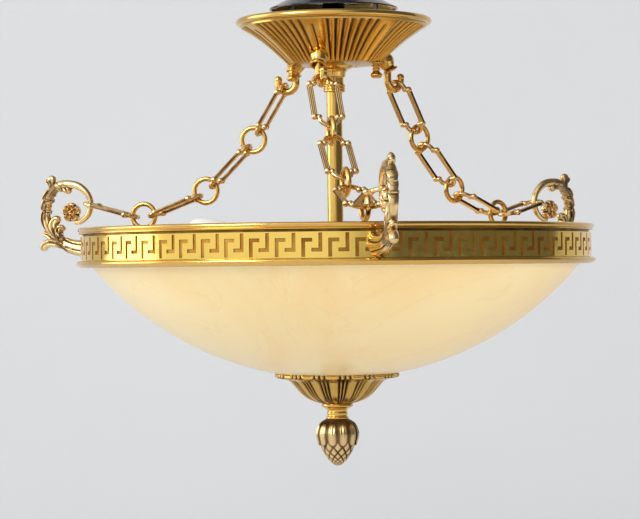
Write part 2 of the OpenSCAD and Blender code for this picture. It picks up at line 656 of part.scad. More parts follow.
// Screws from inside the ring into the arms' feet
module arm_screws() {
    color(brass) arms() translate([0, 0, band_mid_z]) rotate([0, 90, 0]) {
        translate([0, 0, carrier_r - carrier_t - 1]) cylinder(r = arm_screw_r, h = carrier_t + strip_t + 9);
        translate([0, 0, carrier_r - carrier_t - 2.2]) cylinder(r = arm_screw_r + 1.8, h = 2.1);
    }
}

module upper_moulding() {
    z = ring_top_z;
    r = band_r + upper_proud;
    color(brass) rotate_extrude() union() {
        translate([r - mould_h/2, z - mould_h/2]) circle(d = mould_h);
        translate([carrier_r - carrier_t, z - mould_h]) square([r - mould_h/2 - carrier_r + carrier_t, mould_h - 0.6]);
    }
}

module lower_moulding() {
    r = band_r + lower_proud;
    inner = rim_r + 0.8;
    color(brass) rotate_extrude() difference() {
        union() {
            translate([r - mould_h/2, ring_z + mould_h/2]) circle(d = mould_h);
            translate([inner - 4, ring_z]) square([r - mould_h/2 - inner + 4, mould_h]);
        }
        translate([0, ring_z - 1]) square([inner, 1.6 + bowl_rim_up]);
    }
}

// One key motif as grooves: a line from below hooked to the right, and its turned twin from above
module key_motif() {
    for (turn = [0, 180]) rotate(turn) translate([-key_w/2, 0]) polygon([
        [0, -key_h/2], [0, key_hook_up], [key_hook, key_hook_up], [key_hook, key_hook_up - key_line],
        [key_line, key_hook_up - key_line], [key_line, -key_h/2]]);
}

module key_band() {
    color(brass) difference() {
        washer(band_r, carrier_r + fit, band_z, band_top_z, $fn = 4*key_count);
        for (i = [0:key_count - 1]) rotate(360*i/key_count) translate([band_r - key_depth, 0, band_mid_z])
            rotate([90, 0, 90]) linear_extrude(key_depth + 2) key_motif();
        arms() translate([0, 0, band_mid_z]) rotate([0, 90, 0]) cylinder(r = arm_screw_r + fit, h = band_r + 5);
    }
}

// Plain brass wall behind the strip, with the ledge that sits on the glass rim
module carrier_ring() {
    color(brass) difference() {
        rotate_extrude() {
            translate([carrier_r - carrier_t, band_z]) square([carrier_t, ring_top_z - mould_h - band_z]);
            translate([rim_r - bowl_wall - 4, rim_z + 1]) square([carrier_r - rim_r + bowl_wall + 4, 1.4]);
        }
        arms() translate([0, 0, band_mid_z]) rotate([0, 90, 0]) cylinder(r = arm_screw_r + fit, h = band_r);
    }
}

module rim_felt() {
    color("#6b5a3c") washer(rim_r - 0.5, rim_r - bowl_wall + 0.3, rim_z + 0.05, rim_z + 0.95);
}

module glass_bowl() {
    color(glass) difference() {
        intersection() {
            translate([0, 0, bowl_centre_z]) sphere(r = bowl_sphere_r);
            translate([0, 0, bowl_bottom_z - 1]) cylinder(r = rim_r + 5, h = bowl_depth + 1);
        }
        translate([0, 0, bowl_centre_z]) sphere(r = bowl_sphere_r - bowl_wall);
        translate([0, 0, bowl_bottom_z - 2]) cylinder(r = bowl_hole_r, h = bowl_wall + 6);
    }
}

// Steel plate inside the bowl that spreads the rod's clamp
module bowl_washer() {
    color(steel) washer(washer_r, nipple_r + fit, washer_z + 1.4, washer_z + 3);
}

module bowl_gaskets() {
    color(rubber) {
        washer(washer_r - 0.5, nipple_r + fit, washer_z, washer_z + 1.3);
        washer(bowl_hole_r - fit, nipple_r + fit, bowl_bottom_z + 0.5, bowl_inner_bottom_z - 0.5);
    }
}

// Cap outline from the rim to the neck, a curve through three poles
function cap_curve(t) = let (a = [cap_r - 1.6, cap_top_z - cap_rim_h],
    b = [cap_end_r + 20, cap_end_z + 1.8], c = [cap_end_r, cap_end_z])
    pow(1 - t, 2)*a + 2*t*(1 - t)*b + t*t*c;
cap_steps = 6;
cap_slope = atan2(cap_h - cap_rim_h, cap_r - cap_end_r);
function cap_inner(t, depth) = cap_curve(t) + depth*[-sin(cap_slope), cos(cap_slope)];
function cap_side(depth) = [for (i = [0:cap_steps]) cap_inner(i/cap_steps, depth)];
cap_turn = 360/cap_groups;
cap_grooves = [for (g = [0:cap_groups - 1], share = [0, 0.2, 0.4]) cap_turn*(g + share)];

module bottom_cap() {
    blade = concat(cap_side(flute_depth*0.9), [[cap_end_r - 4, cap_end_z - 5], [cap_r + 5, cap_end_z - 5],
        [cap_r + 5, cap_top_z - cap_rim_h]]);
    color(brass) difference() {
        rotate_extrude() polygon(concat(
            [[cap_r - 0.6, cap_top_z], [cap_r, cap_top_z - 0.8], [cap_r, cap_top_z - cap_rim_h + 0.5]],
            cap_side(0), [[0, cap_end_z], [0, cap_end_z + cap_wall]],
            reversed(cap_side(cap_wall)), [[cap_r - 0.6 - cap_lip, cap_inner_z]]));
        for (a = cap_grooves) rotate(a) groove_blade(blade, flute_w*0.9);
        translate([0, 0, cap_end_z - 1]) cylinder(r = nipple_r + seat_gap, h = cap_wall + 2);
    }
}

// Turned nut under the cap
module cap_nut() {
    z = cap_end_z - 0.1;
    r = cap_nut_r;
    color(brass) difference() {
        rotate_extrude() polygon([
            [0, z], [r - 0.8, z], [r, z - 0.8], [r, z - 2.5], [r - 1.2, z - 3.4], [r - 3.4, z - 4.4],
            [nipple_r + 3.2, z - 5.6], [nipple_r + 2.9, z - 8], [nipple_r + 3.2, z - 10.2],
            [nipple_r + 3.9, z - 11], [nipple_r + 3.9, cap_nut_z + 0.2], [0, cap_nut_z + 0.2]]);
        translate([0, 0, cap_nut_z - 1]) cylinder(r = nipple_r + fit, h = cap_nut_h + 2);
    }
}

// Acorn outline as a smooth curve from its shoulder to its tip
finial_path = [[0, 0], [9.2, 0], [14.2, -4.4], [16.8, -11.2], [15.4, -18.6], [11, -26], [5.4, -32.6], [2.4, -36.6], [0, -37.9]];
module finial() {
    q = [for (p = smooth(finial_path, 3)) [max(0, p[0])*finial_r/16.8, min(0, p[1])*finial_h/37.9]];
    color(brass) translate([0, 0, cap_nut_z]) difference() {
        rotate_extrude() polygon(q);
        translate([0, 0, -11.5]) cylinder(r = nipple_r + turn_gap, h = 20);
    }
}

module rod() {
    color(steel) washer(nipple_r, nipple_bore_r, rod_end_z, rod_top_z);
}

module rod_locknut() {
    color(steel) hex_nut(locknut_af, nipple_r + fit, washer_z + 3.1, nut_h);
}

module lamp_frames() {
    for (k = [0:arm_count - 1]) rotate(lamp_angle(k)) translate([lamp_root_r, 0, lamp_root_z])
        rotate([0, 90 - lamp_tilt(k), 0]) children();
}

// Turned body that joins the stem, the rod and the three lamp pipes
module cluster_body() {
    z = cluster_z;
    r = cluster_r;
    h = cluster_h;
    color(brass) difference() {
        rotate_extrude() polygon([
            [0, z], [stem_r + 5, z], [r - 5, z + 3], [r, z + 8], [r, z + h - 8], [r - 5, z + h - 3],
            [stem_r + 5, z + h], [0, z + h]]);
        translate([0, 0, z + 8]) cylinder(r = r - 3, h = h - 16);
        translate([0, 0, z + h - 8.5]) cylinder(r = stem_r + fit, h = 10);
        translate([0, 0, z - 1]) cylinder(r = nipple_r + fit, h = 12);
        for (k = [0:arm_count - 1]) rotate(lamp_angle(k)) translate([lamp_root_r, 0, lamp_root_z])
            rotate([0, 90 - lamp_tilt(k), 0]) translate([0, 0, -8]) cylinder(r = 4 + fit, h = 14);
    }
}

module lamp_pipes() {
    color(steel) lamp_frames() translate([0, 0, -1]) difference() {
        cylinder(r = 4, h = nipple_len + 5);
        translate([0, 0, -1]) cylinder(r = 2.8, h = nipple_len + 7);
    }
}

module on_lamp(k) {
    rotate(lamp_angle(k - 1)) translate([lamp_root_r, 0, lamp_root_z]) rotate([0, 90 - lamp_tilt(k - 1), 0])
        translate([0, 0, nipple_len]) children();
}

// Lampholder: a cup with a stepped outside and a bore for the lamp base
module lampholder(k) {
    color(porcelain) on_lamp(k) difference() {
        rotate_extrude() polygon([
            [0, 0], [holder_r - 6, 0], [holder_r - 2, 4], [holder_r - 2, 14], [holder_r, 15],
            [holder_r, holder_len - 1], [holder_r - 1, holder_len], [0, holder_len]]);
        translate([0, 0, holder_len - base_len - 2]) cylinder(r = base_r + turn_gap, h = base_len + 5);
        translate([0, 0, -1]) cylinder(r = 4 + fit, h = 9);
    }
}

// Screw base: threaded shell with five drawn turns and an end contact
module bulb_base(k) {
    z = holder_len - base_len;
    turn_h = (base_len - 6)/5;
    color(steel) on_lamp(k) rotate_extrude() polygon(concat(
        [[0, z], [4.5, z], [base_r - 1.5, z + 4], [base_r - 1, z + 4.4]],
        [for (i = [0:4]) each [[base_r, z + 4.4 + turn_h*(i + 0.5)], [base_r - 1, z + 4.4 + turn_h*(i + 1)]]],
        [[base_r - 1, holder_len - 0.1], [0, holder_len - 0.1]]));
}

// Frosted envelope as a thin shell
bulb_path = [[13.4, 0], [14.5, 6], [18, 18], [20, 32], [18.6, 48], [14.6, 60], [11, 66.5], [6.5, 71.8], [0, 74]];
module bulb_glass(k) {
    q = smooth(bulb_path, 2);
    outer = [for (p = q) [max(0, p[0])*bulb_r/20, p[1]*bulb_len/74]];
    core = [for (p = q) [max(0, max(0, p[0])*bulb_r/20 - bulb_wall), p[1]*(bulb_len - 1.4*bulb_wall)/74]];
    color(frosted) on_lamp(k) translate([0, 0, holder_len]) difference() {
        rotate_extrude() polygon(concat([[0, 0]], outer));
        rotate_extrude() polygon(concat([[0, bulb_wall]], [for (p = core) if (p[1] > bulb_wall) p]));
    }
}

ceiling_plate();
canopy_studs();
ground_screw();
nipple();
nipple_locknut();
canopy();
hook_nuts();
canopy_knobs();
lock_collar();
stem_nut();
stem();
lead_wires();
for (k = [1:arm_count]) {
    hook_of(k - 1);
    for (n = [1:link_count]) chain_link(k, n);
    chain_rings(k);
    rotate(arm_angle(k - 1)) scroll_arm();
    lampholder(k);
    bulb_base(k);
    bulb_glass(k);
}
rosettes();
arm_screws();
upper_moulding();
key_band();
lower_moulding();
carrier_ring();
rim_felt();
glass_bowl();
bowl_washer();
bowl_gaskets();
bottom_cap();
cap_nut();
finial();
rod();
rod_locknut();
cluster_body();
lamp_pipes();
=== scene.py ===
"""Finished surfaces of a glass pendant light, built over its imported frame.

Every piece is a surface of two parameters worked out as whole arrays, in millimetres, and turned into
metres when its mesh is made. Places and main sizes come from the frame's own nodes and joints.
"""

import json
import math

import bmesh
import bpy
import numpy as np
from bpy.props import FloatProperty, FloatVectorProperty, IntProperty, PointerProperty
from bpy.types import Operator, Panel, PropertyGroup
from mathutils import Matrix, Vector


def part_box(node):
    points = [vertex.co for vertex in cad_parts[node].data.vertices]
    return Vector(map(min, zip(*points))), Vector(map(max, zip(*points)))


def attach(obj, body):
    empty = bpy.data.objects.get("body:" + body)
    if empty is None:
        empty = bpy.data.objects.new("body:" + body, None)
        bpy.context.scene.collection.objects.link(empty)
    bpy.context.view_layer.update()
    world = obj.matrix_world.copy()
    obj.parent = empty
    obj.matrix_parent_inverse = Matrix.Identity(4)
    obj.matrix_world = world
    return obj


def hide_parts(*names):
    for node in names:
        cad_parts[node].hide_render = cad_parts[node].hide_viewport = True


bl_info = {
    "name": "Glass pendant light",
    "version": (1, 0, 0),
    "blender": (4, 5, 0),
    "location": "View3D > Sidebar > Pendant",
    "description": "Finished surfaces of a glass pendant light over its built frame",
    "category": "Add Mesh",
}

MM = 0.001
TAU = 2 * math.pi
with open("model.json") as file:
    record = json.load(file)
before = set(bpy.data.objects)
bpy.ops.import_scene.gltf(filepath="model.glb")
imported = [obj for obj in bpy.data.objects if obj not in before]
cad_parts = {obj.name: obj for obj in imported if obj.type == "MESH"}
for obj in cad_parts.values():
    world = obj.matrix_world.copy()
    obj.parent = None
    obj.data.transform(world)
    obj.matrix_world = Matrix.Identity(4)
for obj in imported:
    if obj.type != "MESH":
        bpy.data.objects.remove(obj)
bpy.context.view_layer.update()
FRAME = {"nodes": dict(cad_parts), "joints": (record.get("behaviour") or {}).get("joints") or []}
JOINTS = {joint["name"]: joint for joint in FRAME["joints"]}
CHAINS = (1, 2, 3)
LINKS = (1, 2, 3, 4)

# The way that each arm points, seen from above
ARM_TURN = {k: math.radians(-90 + 120 * (k - 1)) for k in CHAINS}

# Points of a mesh closer than this are joined, in metres
WELD = 0.002 * MM

# Radius of the holes for the nipple in the canopy and for the rod in the cap, in millimetres
THREAD_HOLE = 5.3


def node_box(name):
    """Lowest and highest corner of a node, in millimetres."""
    low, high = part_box(name)
    return np.array(low) / MM, np.array(high) / MM


def top_centre(name, depth=0.3):
    """Middle of the vertices that lie within depth of a node's highest level, in millimetres."""
    points = np.array([v.co for v in FRAME["nodes"][name].data.vertices]) / MM
    return points[points[:, 2] > points[:, 2].max() - depth].mean(0)


# Arrays, curves and grids


def bezier(a, b, c, t):
    """Quadratic curve through three poles: (1-t) squared a, plus 2t(1-t) b, plus t squared c."""
    t = np.asarray(t, float)[:, None]
    return (1 - t) ** 2 * np.array(a) + 2 * t * (1 - t) * np.array(b) + t**2 * np.array(c)


def arc(centre, radius, start, end, count):
    """Points of a circle from one angle to another, in degrees."""
    angle = np.radians(np.linspace(start, end, count))
    return np.array(centre) + radius * np.stack([np.cos(angle), np.sin(angle)], 1)


def smooth_path(points, steps):
    """Catmull-Rom curve through the points: each span is a cubic whose end slopes follow its neighbours."""
    p = np.array(points, float)
    before = np.vstack([p[:1], p[:-2]])
    after = np.vstack([p[2:], p[-1:]])
    t = (np.arange(steps) / steps)[None, :, None]
    a, b, c, d = before[:, None], p[:-1, None], p[1:, None], after[:, None]
    cubic = 0.5 * (
        2 * b + (c - a) * t + (2 * a - 5 * b + 4 * c - d) * t**2 + (3 * b - a - 3 * c + d) * t**3
    )
    return np.vstack([cubic.reshape(-1, p.shape[1]), p[-1:]])


def rounded_profile(points, radius=0.4, steps=4):
    """Outline whose inner corners are cut by short curves. Each starts radius before its corner and ends
    radius after it, or at 0.45 of the side where that is less."""
    p, most = np.array(points, float), 0.45
    parts = [p[:1]]
    t = np.linspace(0, 1, steps)
    for before, corner, after in zip(p[:-2], p[1:-1], p[2:]):
        into, out = before - corner, after - corner
        reach_in = min(radius, most * np.linalg.norm(into))
        reach_out = min(radius, most * np.linalg.norm(out))
        start = corner + into / np.linalg.norm(into) * reach_in
        end = corner + out / np.linalg.norm(out) * reach_out
        parts.append(bezier(start, corner, end, t))
    return np.vstack(parts + [p[-1:]])


def smoothstep(low, high, value):
    """0 below low, 1 above high, and 3t squared minus 2t cubed between them."""
    t = np.clip((np.asarray(value, float) - low) / (high - low), 0, 1)
    return t * t * (3 - 2 * t)


def revolve(profile, turns=128):
    """Surface of revolution: the profile's point (r, z) at angle a lies at (r cos a, r sin a, z)."""
    angle = np.arange(turns) / turns * TAU
    r, z = profile[:, 0, None], profile[:, 1, None]
    return np.stack([r * np.cos(angle), r * np.sin(angle), z + 0 * angle], -1)


def capped(path, sections):
    """The sections of a rod, closed by a first and a last row drawn in to the ends of its path."""
    shape = (1, sections.shape[1], 3)
    first, last = (np.broadcast_to(end[:, None], shape) for end in (path[:1], path[-1:]))
    return np.concatenate([first, sections, last])


def tube(path, sides, across, up, radius):
    """Closed round rod: a circle of the radius round each path point, in the directions across and up."""
    angle = np.arange(sides) / sides * TAU
    wide, high = radius * np.cos(angle)[:, None], radius * np.sin(angle)[:, None]
    return capped(path, path[:, None] + across[:, None] * wide + up[:, None] * high)


def placed(points, matrix):
    """The points after a 4 by 4 matrix."""
    m = np.array(matrix)
    return points @ m[:3, :3].T + m[:3, 3]


def frame_matrix(origin, x, y):
    """Matrix whose X axis is x, whose Y axis is y and whose Z axis is square to both."""
    x, y = Vector(x).normalized(), Vector(y).normalized()
    z = x.cross(y)
    m = Matrix((x, y, z)).transposed().to_4x4()
    m.translation = Vector(origin)
    return m


def ball(centre, radius, rows=12, sides=20):
    """Sphere as a half circle turned about its upright axis."""
    half = arc((0, 0), radius, -90, 90, rows)
    half[[0, -1], 0] = 0
    return revolve(half, sides) + np.array(centre)


# Meshes


def grid_faces(rows, columns, closed):
    """Quads between neighbouring rows; columns close on themselves, and rows too where closed is set."""
    r = np.arange(rows if closed else rows - 1)[:, None]
    c = np.arange(columns)[None, :]
    below, beside = (r + 1) % rows, (c + 1) % columns
    corners = [r * columns + c, r * columns + beside, below * columns + beside, below * columns + c]
    return np.stack(corners, -1).reshape(-1, 4)


def moved(shells, matrix):
    """The shells after a 4 by 4 matrix."""
    return [(placed(grid, matrix), closed, painted_shade) for grid, closed, painted_shade in shells]


def signed_volume(points, quads):
    """Sum of the volumes between the origin and each half quad; negative where faces point inwards."""
    a, b, c, d = (points[quads[:, i]] for i in range(4))
    first = np.einsum("ij,ij->i", a, np.cross(b, c))
    second = np.einsum("ij,ij->i", a, np.cross(c, d))
    return (first + second).sum() / 6


def make_piece(name, shells, body, replaced, look="polished_brass", sharp=40.0):
    """Joins closed shells into one mesh, puts it on its body and lets it replace a frame node. A shell is
    its points on a grid, whether its rows close into a ring, and the painted shade on each point, from 0
    to 1, most where it lies deep in the recesses. Edges that turn by more than sharp degrees stay sharp."""
    points, quads, depth, start = [], [], [], 0
    for grid, closed, painted_shade in shells:
        flat = grid.reshape(-1, 3)
        faces = grid_faces(grid.shape[0], grid.shape[1], closed)
        if signed_volume(flat - flat.mean(0), faces) < 0:
            faces = faces[:, ::-1]
        points.append(flat)
        quads.append(faces + start)
        depth.append(np.broadcast_to(painted_shade, grid.shape[:2]).reshape(-1))
        start += len(flat)
    points, quads, depth = np.vstack(points) * MM, np.vstack(quads), np.concatenate(depth)
    mesh = bpy.data.meshes.new(name)
    mesh.vertices.add(len(points))
    mesh.vertices.foreach_set("co", points.astype(np.float32).ravel())
    mesh.loops.add(quads.size)
    mesh.loops.foreach_set("vertex_index", quads.astype(np.int32).ravel())
    mesh.polygons.add(len(quads))
    mesh.polygons.foreach_set("loop_start", np.arange(0, quads.size, 4, dtype=np.int32))
    # Painted shade of every point, kept as an attribute that the metal materials read
    mesh.attributes.new("painted_shade", "FLOAT", "POINT").data.foreach_set("value", depth.astype(np.float32))
    mesh.update(calc_edges=True)
    weld = bmesh.new()
    weld.from_mesh(mesh)
    bmesh.ops.remove_doubles(weld, verts=weld.verts, dist=WELD)
    weld.to_mesh(mesh)
    weld.free()
    mesh.shade_smooth()
    mesh.set_sharp_from_angle(angle=math.radians(sharp))
    mesh.materials.append(finish(look))
    piece = bpy.data.objects.new(name, mesh)
    bpy.context.scene.collection.objects.link(piece)
    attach(piece, body)
    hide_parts(replaced)


def dress(name, material):
    """Gives a frame node its material."""
    mesh = FRAME["nodes"][name].data
    mesh.materials.clear()
    mesh.materials.append(material)


def paint_shaded_wall(name):
    """Gives all of a frame node painted shade, for a wall that lies deep behind the pieces in front of it."""
    mesh = FRAME["nodes"][name].data
    painted_shade = mesh.attributes.new("painted_shade", "FLOAT", "POINT")
    painted_shade.data.foreach_set("value", [1.0] * len(mesh.vertices))


# Shader groups and materials


def shader_group(name, inputs, outputs):
    """New node group with float, colour or vector sockets, what it is given, and its output node."""
    kinds = {"value": "NodeSocketFloat", "colour": "NodeSocketColor", "vector": "NodeSocketVector"}
    group = bpy.data.node_groups.new(name, "ShaderNodeTree")
    for label, kind, start in inputs:
        socket = group.interface.new_socket(label, in_out="INPUT", socket_type=kinds[kind])
        if start is not None:
            socket.default_value = start
    for label, kind in outputs:
        group.interface.new_socket(label, in_out="OUTPUT", socket_type=kinds[kind])
    return group, group.nodes.new("NodeGroupInput").outputs, group.nodes.new("NodeGroupOutput")


def set_inputs(tree, made, links):
    """Joins or sets a node's inputs by name or number."""
    for key, value in links.items():
        if isinstance(value, bpy.types.NodeSocket):
            tree.links.new(value, made.inputs[key])
        else:
            made.inputs[key].default_value = value
    return made


def node(tree, kind, links=None, **values):
    """Adds a node, sets its properties and joins or sets its inputs."""
    made = tree.nodes.new(kind)
    for key, value in values.items():
        setattr(made, key, value)
    return set_inputs(tree, made, links or {})


def group_node(tree, name, links):
    """Places a shared node group in a material and gives what comes out of it."""
    made = tree.nodes.new("ShaderNodeGroup")
    made.node_tree = bpy.data.node_groups[name]
    return set_inputs(tree, made, links).outputs


def noise(tree, place, scale, detail, **more):
    """Value of a noise texture."""
    links = {"Vector": place, "Scale": scale, "Detail": detail, **more}
    return node(tree, "ShaderNodeTexNoise", links).outputs["Fac"]


def figure(tree, operation, *values, **more):
    """Result of one sum on one to three values."""
    return node(tree, "ShaderNodeMath", dict(enumerate(values)), operation=operation, **more).outputs[0]


def ranged(tree, value, low, high, start=0.0, end=1.0, ease="LINEAR"):
    """A value between two limits, carried over to the range from start to end."""
    links = {"Value": value, "From Min": low, "From Max": high, "To Min": start, "To Max": end}
    return node(tree, "ShaderNodeMapRange", links, interpolation_type=ease).outputs["Result"]


def mixed(tree, share, first, second):
    """Mix of two colours; a share of 1 is all second."""
    links = {"Factor": share, "A": first, "B": second}
    return node(tree, "ShaderNodeMix", links, data_type="RGBA").outputs["Result"]


def bumped(tree, height, strength, distance):
    """Normal of a surface with a small height on it."""
    links = {"Height": height, "Strength": strength, "Distance": distance}
    return node(tree, "ShaderNodeBump", links).outputs["Normal"]


def object_place(tree):
    """Place on the piece, in metres."""
    return node(tree, "ShaderNodeTexCoord").outputs["Object"]


def shade_and_patina_group():
    """Colour of old metal: painted shade, with some patina, gathers in recesses under a cloudy noise, and
    dulls the surface.
    """
    group, given, made = shader_group(
        "Painted shade and patina in recesses",
        [
            ("Vector", "vector", None),
            ("Metal", "colour", (0.8, 0.6, 0.3, 1)),
            ("Shade", "colour", (0.1, 0.04, 0.01, 1)),
            ("Painted shade", "value", 0),
            ("Amount", "value", 0.8),
            ("Polish", "value", 0.15),
            ("Dullness", "value", 0.35),
        ],
        [("Color", "colour"), ("Roughness", "value")],
    )
    cloud = noise(group, given["Vector"], 60.0, 3.0)
    spread = ranged(group, cloud, 0.3, 0.75, 0.75, 1.15)
    deep = ranged(group, given["Painted shade"], 0.15, 0.95, ease="SMOOTHSTEP")
    part = figure(group, "MULTIPLY", deep, spread)
    mask = figure(group, "MULTIPLY", part, given["Amount"], use_clamp=True)
    # The mask mixes in the shade colour: painted shade where shade falls in the recesses, with some patina
    tint = mixed(group, mask, given["Metal"], given["Shade"])
    dull = figure(group, "MULTIPLY_ADD", mask, given["Dullness"], given["Polish"])
    set_inputs(group, made, {"Color": tint, "Roughness": dull})


def handling_group():
    """Faint unevenness of a lacquered surface: broad waves and fine specks give height and roughness."""
    group, given, made = shader_group(
        "Handled lacquer",
        [
            ("Vector", "vector", None),
            ("Wave", "value", 90.0),
            ("Speck", "value", 900.0),
            ("Roughness", "value", 0.2),
        ],
        [("Height", "value"), ("Roughness", "value")],
    )
    wave = noise(group, given["Vector"], given["Wave"], 2.0)
    speck = noise(group, given["Vector"], given["Speck"], 2.0)
    height = figure(group, "MULTIPLY_ADD", speck, 0.25, wave)
    stain = ranged(group, wave, 0.35, 0.7, -0.03, 0.06)
    rough = figure(group, "ADD", given["Roughness"], stain)
    set_inputs(group, made, {"Height": height, "Roughness": rough})


def cloud_group():
    """Swirls of opal glass: a warped noise mixes two creams, and a thin band of it gives pale veins."""
    group, given, made = shader_group(
        "Opal swirl",
        [
            ("Vector", "vector", None),
            ("Body", "colour", (0.9, 0.7, 0.4, 1)),
            ("Swirl", "colour", (0.8, 0.55, 0.3, 1)),
            ("Vein", "colour", (0.6, 0.4, 0.2, 1)),
            ("Scale", "value", 6.0),
        ],
        [("Color", "colour"), ("Height", "value")],
    )
    cloud = noise(group, given["Vector"], given["Scale"], 4.0, Roughness=0.55, Distortion=1.6)
    soft = ranged(group, cloud, 0.36, 0.68, ease="SMOOTHSTEP")
    body = mixed(group, soft, given["Body"], given["Swirl"])
    crease = noise(group, given["Vector"], given["Scale"], 5.0, Roughness=0.5, Distortion=2.5)
    away = figure(group, "ABSOLUTE", figure(group, "SUBTRACT", crease, 0.5))
    line = ranged(group, away, 0.0, 0.012, 0.2, 0.0)
    veined = mixed(group, line, body, given["Vein"])
    set_inputs(group, made, {"Color": veined, "Height": cloud})


def new_material(name, **sockets):
    """Material with one Principled shader; its fixed values are set on the shader itself."""
    made = bpy.data.materials.new(name)
    made.use_nodes = True
    shader = made.node_tree.nodes["Principled BSDF"]
    for label, value in sockets.items():
        shader.inputs[label.replace("_", " ")].default_value = value
    return made, made.node_tree, shader


def srgb(red, green, blue):
    """Linear colour of a display colour given from 0 to 255."""
    shown = np.array([red, green, blue]) / 255
    linear = np.where(shown <= 0.04045, shown / 12.92, ((shown + 0.055) / 1.055) ** 2.4)
    return (*linear.tolist(), 1.0)


def metal_with_painted_shade(tree, place, wave, metal, shade, painted_shade, amount, polish, dullness):
    """Colour, roughness and height of a metal with painted shade and some patina in its recesses under
    uneven lacquer.
    """
    colours = {"Metal": metal, "Shade": shade, "Painted shade": painted_shade}
    shares = {"Amount": amount, "Polish": polish, "Dullness": dullness}
    shade_and_patina = group_node(tree, "Painted shade and patina in recesses", {"Vector": place, **colours, **shares})
    links = {"Vector": place, "Wave": wave, "Roughness": shade_and_patina["Roughness"]}
    lacquer = group_node(tree, "Handled lacquer", links)
    return shade_and_patina["Color"], lacquer["Roughness"], lacquer["Height"]


def metal_material(name, metal, shade, polish, dullness, amount, wave=90.0, bump=0.02):
    """Metal with painted shade and some patina in its recesses and a slightly uneven lacquered surface."""
    made, tree, shader = new_material(name, Metallic=1.0)
    place = object_place(tree)
    # Painted shade of each point, from the pieces' attribute
    painted_shade = node(tree, "ShaderNodeAttribute", attribute_name="painted_shade").outputs["Fac"]
    colour, rough, height = metal_with_painted_shade(tree, place, wave, metal, shade, painted_shade, amount, polish, dullness)
    relief = bumped(tree, height, bump, 0.001)
    set_inputs(tree, shader, {"Base Color": colour, "Roughness": rough, "Normal": relief})
    return made


def key_material(looks):
    """Embossed strip: the pressed lines lie nearer the axis, and are matt, finely grained, and browner with
    painted shade and some patina.
    """
    outer, floor_deep, top_deep = node_box("key_band")[1][0] * MM, 0.85 * MM, 0.15 * MM
    made, tree, shader = new_material("Embossed brass strip", Metallic=1.0)
    place = object_place(tree)
    parts = node(tree, "ShaderNodeSeparateXYZ", {0: place}).outputs
    flat = node(tree, "ShaderNodeCombineXYZ", {0: parts["X"], 1: parts["Y"]}).outputs[0]
    radius = node(tree, "ShaderNodeVectorMath", {0: flat}, operation="LENGTH").outputs["Value"]
    # How deep a point lies in the pressed lines, which sets their painted shade
    depth = ranged(tree, radius, outer - floor_deep, outer - top_deep, 1.0, 0.0)
    band, floor = (*looks.band, 1), (*looks.key_floor, 1)
    colour, rough, height = metal_with_painted_shade(
        tree, place, 140.0, band, floor, depth, amount=0.95, polish=0.12, dullness=0.38
    )
    grain = noise(tree, place, 1400.0, 2.0)
    grained = figure(tree, "MULTIPLY", grain, depth)
    height = figure(tree, "MULTIPLY_ADD", grained, 3.0, height)
    relief = bumped(tree, height, 0.06, 0.001)
    set_inputs(tree, shader, {"Base Color": colour, "Roughness": rough, "Normal": relief})
    return made


def opal_material(looks):
    """Cream opal glass with faint swirls under a soft gloss."""
    made, tree, shader = new_material(
        "Opal bowl glass",
        Roughness=0.32,
        Subsurface_Weight=0.35,
        Subsurface_Radius=(0.02, 0.012, 0.006),
        Subsurface_Scale=1.0,
        Coat_Weight=0.25,
        Coat_Roughness=0.12,
    )
    creams = {"Body": (*looks.bowl, 1), "Swirl": (*looks.bowl_swirl, 1), "Vein": (*looks.bowl_vein, 1)}
    swirl = group_node(tree, "Opal swirl", {"Vector": object_place(tree), **creams, "Scale": 7.0})
    relief = bumped(tree, swirl["Height"], 0.05, 0.002)
    set_inputs(tree, shader, {"Base Color": swirl["Color"], "Normal": relief})
    return made


def grained_material(name, pale, dark, roughness, scale, bump):
    """Plain material whose colour wanders between two tones with a fine grain, such as rubber."""
    made, tree, shader = new_material(name, Roughness=roughness)
    grain = noise(tree, object_place(tree), scale, 3.0)
    tint = mixed(tree, grain, pale, dark)
    set_inputs(tree, shader, {"Base Color": tint, "Normal": bumped(tree, grain, bump, 0.0005)})
    return made


# Sizes and colours that a user would change


def colour_setting(name, description, red, green, blue):
    """Colour property whose default is a display colour given from 0 to 255."""
    start = srgb(red, green, blue)[:3]
    return FloatVectorProperty(name=name, description=description, subtype="COLOR", default=start)


class PendantFinishes(PropertyGroup):
    brass: colour_setting("Brass", "Colour of the polished brass", 228, 184, 98)
    cast_brass: colour_setting("Cast brass", "Colour of the cast arms, links and finial", 236, 202, 142)
    # Colour of the painted shade in the brass recesses, with some patina
    brass_painted_shade: colour_setting("Brass shade", "Colour of the patina in the brass recesses", 58, 26, 8)
    band: colour_setting("Key band", "Colour of the strip between the key lines", 252, 214, 108)
    # Colour of the pressed key lines: painted shade, with some patina
    key_floor: colour_setting("Key lines", "Colour of the pressed key lines", 150, 98, 40)
    plate: colour_setting("Ceiling plate", "Colour of the glossy dark plate", 70, 72, 78)
    bowl: colour_setting("Bowl", "Main colour of the glass bowl", 253, 221, 166)
    bowl_swirl: colour_setting("Bowl swirl", "Second colour of the glass bowl", 251, 211, 150)
    bowl_vein: colour_setting("Bowl vein", "Colour of the fine veins in the glass", 238, 190, 132)


class PendantDetails(PropertyGroup):
    flute: FloatProperty(
        name="Flute depth",
        description="Depth of the grooves between the petals",
        default=1.8 * MM,
        min=0.2 * MM,
        max=2.5 * MM,
        unit="LENGTH",
    )
    canopy_groups: IntProperty(
        name="Canopy groups", description="Broad petals round the canopy", default=7, min=3, max=12
    )
    cap_groups: IntProperty(
        name="Cap groups", description="Broad petals round the bottom cap", default=15, min=5, max=24
    )
    acorn_leaves: IntProperty(
        name="Acorn leaves", description="Leaves round the acorn's cup", default=11, min=5, max=14
    )
    scale_depth: FloatProperty(
        name="Scale depth",
        description="Depth between the scales of the acorn",
        default=1.1 * MM,
        min=0.2 * MM,
        max=2 * MM,
        unit="LENGTH",
    )


